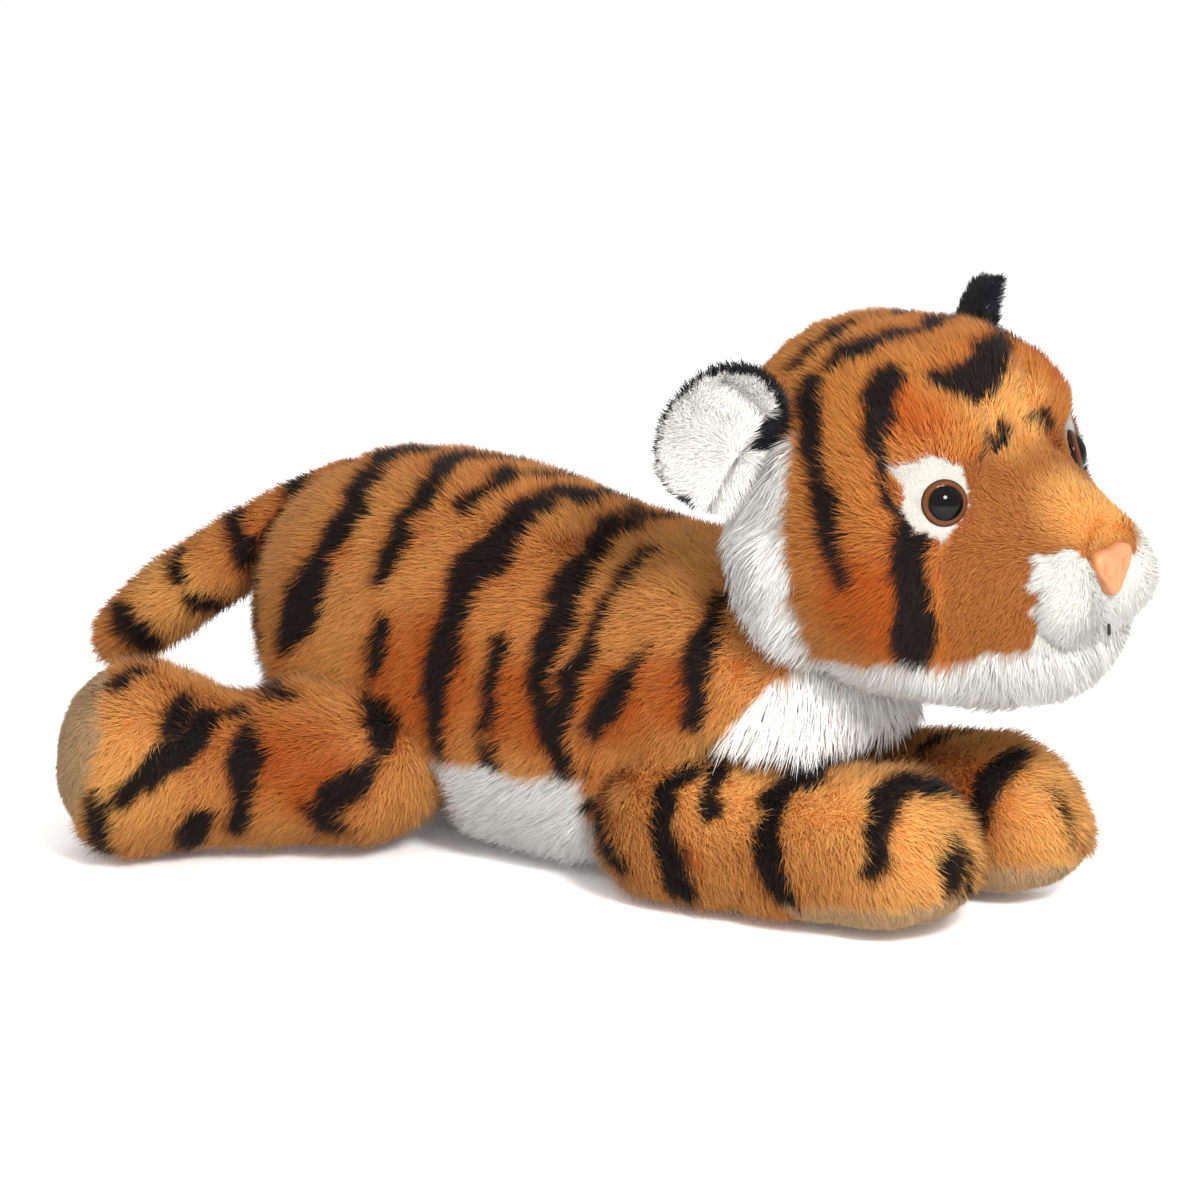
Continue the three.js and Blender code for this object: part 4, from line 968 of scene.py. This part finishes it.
def pileNodes():
    tree = bpy.data.node_groups.new("pile", "GeometryNodeTree")
    tree.interface.new_socket("Geometry", in_out="INPUT", socket_type="NodeSocketGeometry")
    inputs = {
        "Plot": "Int", "Strands per Area": "Float", "Strand Width": "Float", "Bend": "Float",
        "Clump Size": "Float", "Clump Pull": "Float", "Stray": "Float", "Sparkle": "Float",
        "Shade Spread": "Float", "Seed": "Int", "Strand": "Object", "Finish": "Material",
        "Stripe Tip": "Color", "Stripe Root": "Color", "Stripe Feather": "Float",
    }
    for name, kind in inputs.items():
        tree.interface.new_socket(name, in_out="INPUT", socket_type="NodeSocket" + kind)
    tree.interface.new_socket("Geometry", in_out="OUTPUT", socket_type="NodeSocketGeometry")
    given = wire(tree, "NodeGroupInput").outputs

    def named(name):
        return made(tree, "GeometryNodeInputNamedAttribute", {"Name": name}, data_type=noteKinds[name])

    def vector(operation, *values):
        node = wire(tree, "ShaderNodeVectorMath", dict(enumerate(values)), operation=operation)
        return node.outputs[1 if operation == "LENGTH" else 0]

    def scaled(value, factor):
        return made(tree, "ShaderNodeVectorMath", {0: value, "Scale": factor}, operation="SCALE")

    def number(operation, a, b):
        return made(tree, "ShaderNodeMath", {0: a, 1: b}, operation=operation)

    def seeded(seed):
        return made(tree, "FunctionNodeIntegerMath", {0: given["Seed"], 1: seed}, operation="ADD")

    def randomVector(seed):
        values = {0: (-1, -1, -1), 1: (1, 1, 1), "Seed": seeded(seed)}
        return made(tree, "FunctionNodeRandomValue", values, data_type="FLOAT_VECTOR")

    def randomNumber(low, high, seed):
        values = {2: low, 3: high, "Seed": seeded(seed)}
        return wire(tree, "FunctionNodeRandomValue", values, data_type="FLOAT").outputs[1]

    def stored(geometry, name, value):
        values = {"Geometry": geometry, "Name": name, "Value": value}
        return made(tree, "GeometryNodeStoreNamedAttribute", values, data_type=noteKinds[name],
                    domain="POINT")

    onPlot = made(tree, "FunctionNodeCompare", {2: named("plot"), 3: given["Plot"]},
                  data_type="INT", operation="EQUAL")
    density = number("MULTIPLY", given["Strands per Area"], named("thick"))
    spread = wire(tree, "GeometryNodeDistributePointsOnFaces",
                  {"Mesh": given["Geometry"], "Selection": onPlot, "Density": density,
                   "Seed": given["Seed"]},
                  distribute_method="RANDOM")
    points = stored(spread.outputs["Points"], "skinUp", spread.outputs["Normal"])
    points = stored(points, "tilt", randomVector(1))
    points = stored(points, "shade", randomNumber(-1, 1, 2))
    points = stored(points, "feather", randomNumber(-1, 1, 6))

    # a strand leans the way the pile is brushed, towards its clump's middle, and a little astray
    place = made(tree, "GeometryNodeInputPosition")
    fineness = number("DIVIDE", 1.0, given["Clump Size"])
    cells = wire(tree, "ShaderNodeTexVoronoi", {"Vector": place, "Scale": fineness})
    toClump = scaled(vector("SUBTRACT", cells.outputs["Position"], place), given["Clump Pull"])
    comb = named("comb")
    astray = scaled(randomVector(3), number("MULTIPLY", vector("LENGTH", comb), given["Stray"]))
    reach = vector("ADD", vector("ADD", comb, toClump), astray)
    length = number("MULTIPLY", vector("LENGTH", reach), randomNumber(0.72, 1.1, 4))
    turned = made(tree, "FunctionNodeAxesToRotation", {0: reach, 1: named("skinUp")},
                  primary_axis="X", secondary_axis="Z")
    angle = randomNumber(-0.7, 0.7, 5)
    roll = made(tree, "FunctionNodeAxisAngleToRotation", {"Axis": (1, 0, 0), "Angle": angle})
    rolled = made(tree, "FunctionNodeRotateRotation", {0: turned, 1: roll}, rotation_space="LOCAL")
    lift = made(tree, "ShaderNodeMix", {0: given["Bend"], 2: given["Strand Width"], 3: length})
    size = made(tree, "ShaderNodeCombineXYZ", {0: length, 1: given["Strand Width"], 2: lift})
    strand = wire(tree, "GeometryNodeObjectInfo", {"Object": given["Strand"]}, transform_space="ORIGINAL")
    placed = made(tree, "GeometryNodeInstanceOnPoints", {
        "Points": points, "Instance": strand.outputs["Geometry"], "Rotation": rolled, "Scale": size})
    real = made(tree, "GeometryNodeRealizeInstances", {"Geometry": placed})

    # colour from root to tip, the darker roots being painted shade deep in the pile, with each strand
    # a little lighter or darker; at a stripe's edge dark and orange strands stand mixed
    along = named("along")
    plain = mixed(tree, along, named("rootColour"), named("tipColour"))
    inked = mixed(tree, along, given["Stripe Root"], given["Stripe Tip"])
    chance = number("MULTIPLY", named("feather"), given["Stripe Feather"])
    moved = number("ADD", named("dark"), chance)
    edge = made(tree, "ShaderNodeMapRange", {"Value": moved, 1: 0.3, 2: 0.7})
    shade = number("ADD", 1.0, number("MULTIPLY", named("shade"), given["Shade Spread"]))
    real = stored(real, "coat", scaled(mixed(tree, edge, plain, inked), shade))
    tilt = scaled(named("tilt"), given["Sparkle"])
    glint = vector("NORMALIZE", vector("ADD", named("skinUp"), tilt))
    real = made(tree, "GeometryNodeSetMeshNormal", {"Mesh": real, "Custom Normal": glint},
                mode="FREE", domain="POINT")
    real = made(tree, "GeometryNodeSetMaterial", {"Geometry": real, "Material": given["Finish"]})
    wire(tree, "NodeGroupOutput", {0: real})
    return tree


def pileFinish():
    finish, tree, shader = newFinish("plushPile")
    feed(tree, shader, {
        "Base Color": made(tree, "ShaderNodeAttribute", attribute_name="coat"), "Roughness": 0.6,
        "Specular IOR Level": 0.14, "Sheen Weight": 0.05, "Sheen Roughness": 0.5,
    })
    return finish


def backingFinish():
    # the knitted backing under the pile, tinted by the roots, whose darker colour is painted shade
    finish, tree, shader = newFinish("plushBacking")
    coat = made(tree, "ShaderNodeAttribute", attribute_name="coat")
    place = wire(tree, "ShaderNodeTexCoord").outputs["Object"]
    knit = made(tree, "ShaderNodeTexVoronoi", {"Vector": place, "Scale": 900.0})
    shade = made(tree, "ShaderNodeMapRange", {"Value": knit, 3: 1.0, 4: 0.8})
    cover = made(tree, "ShaderNodeVectorMath", {0: coat, "Scale": shade}, operation="SCALE")
    feed(tree, shader, {"Base Color": cover, "Roughness": 0.95})
    return finish


pile = {"perPiece": 190000, "sparkle": 0.22, "shadeSpread": 0.15, "feather": 0.33, "floorGap": 0.25}
pileTree = pileNodes()
plushPile, plushBacking = pileFinish(), backingFinish()


def facePlots(mesh, cloth, points):
    # the cloth of each face, one of its corners and its area
    starts = readAll(mesh.polygons, "loop_start", np.int32)
    first = readAll(mesh.loops, "vertex_index", np.int32)[starts]
    areas = readAll(mesh.polygons, "area")
    return np.array([clothNames.index(c) for c in cloth])[first], points[first], areas / mm / mm


def growPile(body, piece, cloth, points):
    # each cloth becomes one or more pieces of pile, cut along the toy where it has many strands
    mesh = piece.data
    kinds, centres, areas = facePlots(mesh, cloth, points)
    plots = np.zeros(len(kinds), np.int32)
    jobs = []
    for kind in np.unique(kinds):
        name = clothNames[kind]
        plan = cloths[name]
        chosen = np.flatnonzero(kinds == kind)
        halves = [chosen]
        if name in ("patch", "pad", "ruff", "face"):
            right = centres[chosen, 1] < (-3 if body == "head" else 0)
            halves = [chosen[right], chosen[~right]]
        for number, faces in enumerate(h for h in halves if len(h)):
            triangles = areas[faces].sum() * plan["count"] * (5 if name in longCloths else 2)
            parts = max(1, math.ceil(triangles / pile["perPiece"]))
            order = faces[np.argsort(centres[faces, 0])]
            shares = areas[order].sum() * np.arange(1, parts) / parts
            cuts = np.searchsorted(np.cumsum(areas[order]), shares)
            for part, group in enumerate(np.split(order, cuts)):
                plots[group] = len(jobs) + 1
                sideWord = ("Right", "Left")[number] if len(halves) > 1 else ""
                jobs.append((f"{body}_{name}{sideWord}Pile{part + 1 if parts > 1 else ''}", name))
    give(mesh, "plot", plots, "FACE")
    made = []
    share = 1.0
    sockets = {s.name: s.identifier for s in pileTree.interface.items_tree if s.in_out == "INPUT"}
    for plot, (name, kind) in enumerate(jobs, 1):
        plan = cloths[kind]
        isLong = kind in longCloths
        grower = piece.modifiers.new("pile", "NODES")
        grower.node_group = pileTree
        values = {
            "Plot": plot, "Seed": plot, "Strands per Area": plan["count"] * share / mm / mm,
            "Strand Width": plan["width"] * mm / math.sqrt(share), "Bend": float(isLong),
            "Clump Size": plan["clump"] * mm, "Clump Pull": plan["pull"], "Stray": plan["stray"],
            "Sparkle": pile["sparkle"], "Shade Spread": pile["shadeSpread"], "Finish": plushPile,
            "Strand": longStrand if isLong else shortStrand, "Stripe Feather": pile["feather"],
            "Stripe Tip": opaque(coats["inkTip"]), "Stripe Root": opaque(coats["inkRoot"]),
        }
        for key, value in values.items():
            grower[sockets[key]] = value
        mesh = meshOf(piece)
        piece.modifiers.remove(grower)
        forget(mesh)
        grown = pointsOf(mesh)
        grown[:, 2] = np.maximum(grown[:, 2], pile["floorGap"])
        movePoints(mesh, grown)
        tuft = pieceOf(name, mesh)
        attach(tuft, body)
        made.append((tuft, kind))
        print("  ", name, len(mesh.polygons), "triangles")
    forget(piece.data)
    return made


stuffed, surfaces = {}, {}
for body, plan in forms.items():
    stuffed[body] = stuffedForm(body, plan)
    mesh = stuffed[body].data
    places = pointsOf(mesh)
    surface = BVHTree.FromPolygons(places.tolist(), [p.vertices for p in mesh.polygons])
    surfaces[body] = (surface, places.min(0), places.max(0))
print("bodies stuffed")

for body, plan in forms.items():
    form = stuffed[body]
    cloth, outer = grow(body, form, plan)
    tufts = growPile(body, form, cloth, outer)
    form.data.materials.clear()
    form.data.materials.append(plushBacking)
    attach(form, body)
    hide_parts(*plan["panels"])
    print(body, "grown:", len(form.data.polygons), "faces of cloth")


# Fillings and pouches, which only show where a seam opens

fillings = {"voxel": 3.2, "smooth": 6, "inset": 3.4, "lumps": 0.4, "beans": 5, "tufts": 11}


def fillingFinish(name, colour, size, strength):
    low = (*[c * 0.8 for c in colourOf(colour)], 1)
    grain = (size, 6.0, strength, 0.001)
    return grained(name, size, 6.0, low, opaque(colour), {"Roughness": 0.95}, grain)


fibreFinish = fillingFinish("fillingFibre", "#F1F0EC", 260.0, 0.7)
beanFinish = fillingFinish("beanCloth", "#D8D2C4", 900.0, 0.4)
for body, plan in forms.items():
    for nodeName in plan["filling"]:
        filling = joinedCopy(nodeName + "_form", [nodeName])
        remeshed(filling, fillings["voxel"], fillings["smooth"])
        applyAll(filling)
        points, normals = pointsOf(filling.data), normalsOf(filling.data)
        isPouch = nodeName.endswith("pouch")
        uneven = fillings["lumps"] * waves(points, fillings["beans" if isPouch else "tufts"], 51)[:, None]
        movePoints(filling.data, sculpt(body, points - normals * (fillings["inset"] + uneven), normals))
        filling.data.shade_smooth()
        filling.data.materials.append(beanFinish if isPouch else fibreFinish)
        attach(filling, body)
        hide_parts(nodeName)
print("fillings made")


# Eyes: a black pupil that stands out of a brown ring, on a shank

eyeSizes = {
    "radius": 6.0, "dome": 3.4, "shank": 2.0, "shankLength": 11.0, "back": -0.8, "sunk": 0.7, "steps": 56,
}


def eyeFinish():
    finish, tree, shader = newFinish("eyeGloss")
    ring = wire(tree, "ShaderNodeAttribute", attribute_name="ring").outputs["Fac"]
    ramp = wire(tree, "ShaderNodeValToRGB", {"Fac": ring})
    stops = [(0.0, "#070606"), (0.70, "#0B0808"), (0.735, "#160D09"), (0.77, "#5A3119"),
             (0.86, "#6C3E22"), (0.94, "#5E361D"), (1.0, "#1E110B")]
    ramp.color_ramp.elements.remove(ramp.color_ramp.elements[1])
    for i, (at, colour) in enumerate(stops):
        stop = ramp.color_ramp.elements[0] if i == 0 else ramp.color_ramp.elements.new(at)
        stop.position = at
        stop.color = opaque(colour)
    feed(tree, shader, {
        "Base Color": ramp.outputs[0], "Roughness": 0.3, "Specular IOR Level": 0.0, "Coat Weight": 0.32,
        "Coat IOR": 1.5, "Coat Roughness": 0.03,
    })
    return finish


def buildEye(sideName, mirror, finish):
    apex = eyePlanes[mirror][0]
    look = eyeLook(mirror)
    across = unit(np.cross((0, 0, 1), look))
    above = np.cross(look, across)
    middle = apex - look * (eyeSizes["dome"] + eyeSizes["sunk"])
    stem, back = eyeSizes["shank"], eyeSizes["back"]
    foot = back - eyeSizes["shankLength"]
    # radius and height, from the shank over the ring to the pupil
    profile = [(stem * 0.6, foot), (stem, foot + 0.5), (stem, back - 0.3), (stem + 0.4, back),
               (5.5, back), (5.9, back + 0.15), (6.0, -0.2), (6.0, 0.1), (5.88, 0.45), (5.6, 0.85),
               (5.2, 1.2), (4.8, 1.46), (4.5, 1.58), (4.38, 1.56), (4.3, 1.72), (4.0, 2.05),
               (3.4, 2.5), (2.6, 2.92), (1.7, 3.2), (0.8, 3.36)]
    steps = eyeSizes["steps"]
    corners, ring = [], []
    for radius, height in profile:
        for i in range(steps):
            angle = 2 * math.pi * i / steps
            outward = across * radius * math.cos(angle) + above * radius * math.sin(angle)
            corners.append(middle + look * height + outward)
            ring.append(radius / eyeSizes["radius"] if height > -0.5 else 0.0)
    faces = ringFaces(0, len(profile) - 1, steps)
    corners += [middle + look * foot, middle + look * eyeSizes["dome"]]
    ring += [0.0, 0.0]
    last = (len(profile) - 1) * steps
    for i in range(steps):
        faces.append(((i + 1) % steps, i, len(corners) - 2))
        faces.append((last + i, last + (i + 1) % steps, len(corners) - 1))
    mesh = bpy.data.meshes.new(f"eye_{sideName}_dome")
    mesh.from_pydata([tuple(np.array(c) * mm) for c in corners], [], faces)
    give(mesh, "ring", ring)
    mesh.shade_smooth()
    mesh.materials.append(finish)
    piece = pieceOf(f"eye_{sideName}_dome", mesh)
    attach(piece, "head")
    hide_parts(f"eye_{sideName}")


eyeGloss = eyeFinish()
buildEye("right", -1, eyeGloss)
buildEye("left", 1, eyeGloss)
print("eyes made")


# Nose: the moulded triangle rounded off, with its nostrils and the groove under them

noseSizes = {
    "voxel": 0.55, "smooth": 6, "sink": 2.8,
    "widths": (0.5, 0.62, 0.92, 1.08), "widthsAt": (-14.6, -11, -6, -2),
    "nostril": (4.6, -6.6), "nostrilReach": 2.0, "nostrilDepth": 1.3, "grooveDepth": 0.7,
    "grooveWidth": 0.9,
}
noseSkin = grained("noseSkin", 240.0, 4.0, opaque("#CC8356"), opaque("#D89266"),
                   {"Roughness": 0.42, "Specular IOR Level": 0.4}, (2600.0, 2.0, 0.12, 0.0002))
nose = joinedCopy("nose_form", ["nose"])
remeshed(nose, noseSizes["voxel"], noseSizes["smooth"])
nose.modifiers.new("fine", "SUBSURF").levels = 1
applyAll(nose)
points = pointsOf(nose.data)
local = inHead(points)
points -= (noseSizes["sink"] * smoothStep(local[:, 0], 60, 70))[:, None] * headAxes[0]
narrow = np.interp(local[:, 2], noseSizes["widthsAt"], noseSizes["widths"]) - 1
points += (narrow * local[:, 1] * smoothStep(local[:, 0], 60, 65))[:, None] * headAxes[1]
front = smoothStep(local[:, 0], 66, 68)
dent = np.zeros(len(local))
for mirror in (-1, 1):
    out, up = noseSizes["nostril"]
    gap = np.hypot(local[:, 1] - mirror * out, (local[:, 2] - up) * 1.2)
    dent = np.maximum(dent, noseSizes["nostrilDepth"] * np.exp(-(gap / noseSizes["nostrilReach"]) ** 2))
groove = noseSizes["grooveDepth"] * np.exp(-(local[:, 1] / noseSizes["grooveWidth"]) ** 2)
groove = groove * smoothStep(-local[:, 2], 5.5, 9)
points -= (np.maximum(dent, groove) * front)[:, None] * headAxes[0]
movePoints(nose.data, points)
nose.data.shade_smooth()
nose.data.materials.append(noseSkin)
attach(nose, "head")
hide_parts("nose")
print("nose made")


# The stitch of the mouth: three plies of black thread twisted together

stitchSizes = {
    "length": 3.2, "ply": 0.27, "lay": 0.24, "turns": 2.6, "steps": 28, "sides": 8,
    "back": 0.8, "down": 1.2,
}


def twistedThread(name, middle, way, sizes, finish):
    corners, faces = [], []
    way = unit(np.asarray(way, float))
    side = unit(np.cross(way, (0.3, 0.2, 0.9)))
    other = np.cross(way, side)
    for ply in range(3):
        base = len(corners)
        for step in range(sizes["steps"] + 1):
            share = step / sizes["steps"]
            angle = 2 * math.pi * (sizes["turns"] * share + ply / 3)
            outward = side * math.cos(angle) + other * math.sin(angle)
            sideways = np.cross(way, outward)
            taper = math.sqrt(max(0.02, 1 - (2 * share - 1) ** 6))
            centre = middle + way * (share - 0.5) * sizes["length"] + outward * sizes["lay"]
            for i in range(sizes["sides"]):
                turn = 2 * math.pi * i / sizes["sides"]
                edge = outward * math.cos(turn) + sideways * math.sin(turn)
                corners.append(centre + edge * sizes["ply"] * taper)
        faces += ringFaces(base, sizes["steps"], sizes["sides"])
        faces.append([base + i for i in range(sizes["sides"])][::-1])
        faces.append([base + sizes["steps"] * sizes["sides"] + i for i in range(sizes["sides"])])
    mesh = bpy.data.meshes.new(name)
    mesh.from_pydata([tuple(c * mm) for c in corners], [], faces)
    shape = bmesh.new()
    shape.from_mesh(mesh)
    bmesh.ops.recalc_face_normals(shape, faces=shape.faces)
    shape.to_mesh(mesh)
    shape.free()
    mesh.shade_smooth()
    mesh.materials.append(finish)
    return pieceOf(name, mesh)


mouthThread = grained("mouthThread", 3000.0, 3.0, (0.004, 0.004, 0.005, 1), (0.035, 0.033, 0.036, 1),
                      {"Roughness": 0.6})
low, high = (np.array(c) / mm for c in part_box("mouth_stitch"))
middle = (low + high) / 2 - headAxes[0] * stitchSizes["back"] - headAxes[2] * stitchSizes["down"]
mouth = twistedThread("mouth_thread_stitch", middle, headAxes[2], stitchSizes, mouthThread)
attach(mouth, "head")
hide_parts("mouth_stitch")


# The washers behind the eyes and nose keep their solids

washerPlastic = grained("washerPlastic", 420.0, 3.0, opaque("#D9D9D6"), opaque("#EDEDEA"),
                        {"Roughness": 0.38})
for nodeName in ("eye_washer_right", "eye_washer_left", "nose_washer"):
    washer = nodes[nodeName]
    washer.data.materials.clear()
    washer.data.materials.append(washerPlastic)
print("small parts made")
meshes = [item.data for item in scene.objects if item.type == "MESH"]
print("triangles:", sum(len(mesh.loops) - 2 * len(mesh.polygons) for mesh in meshes))
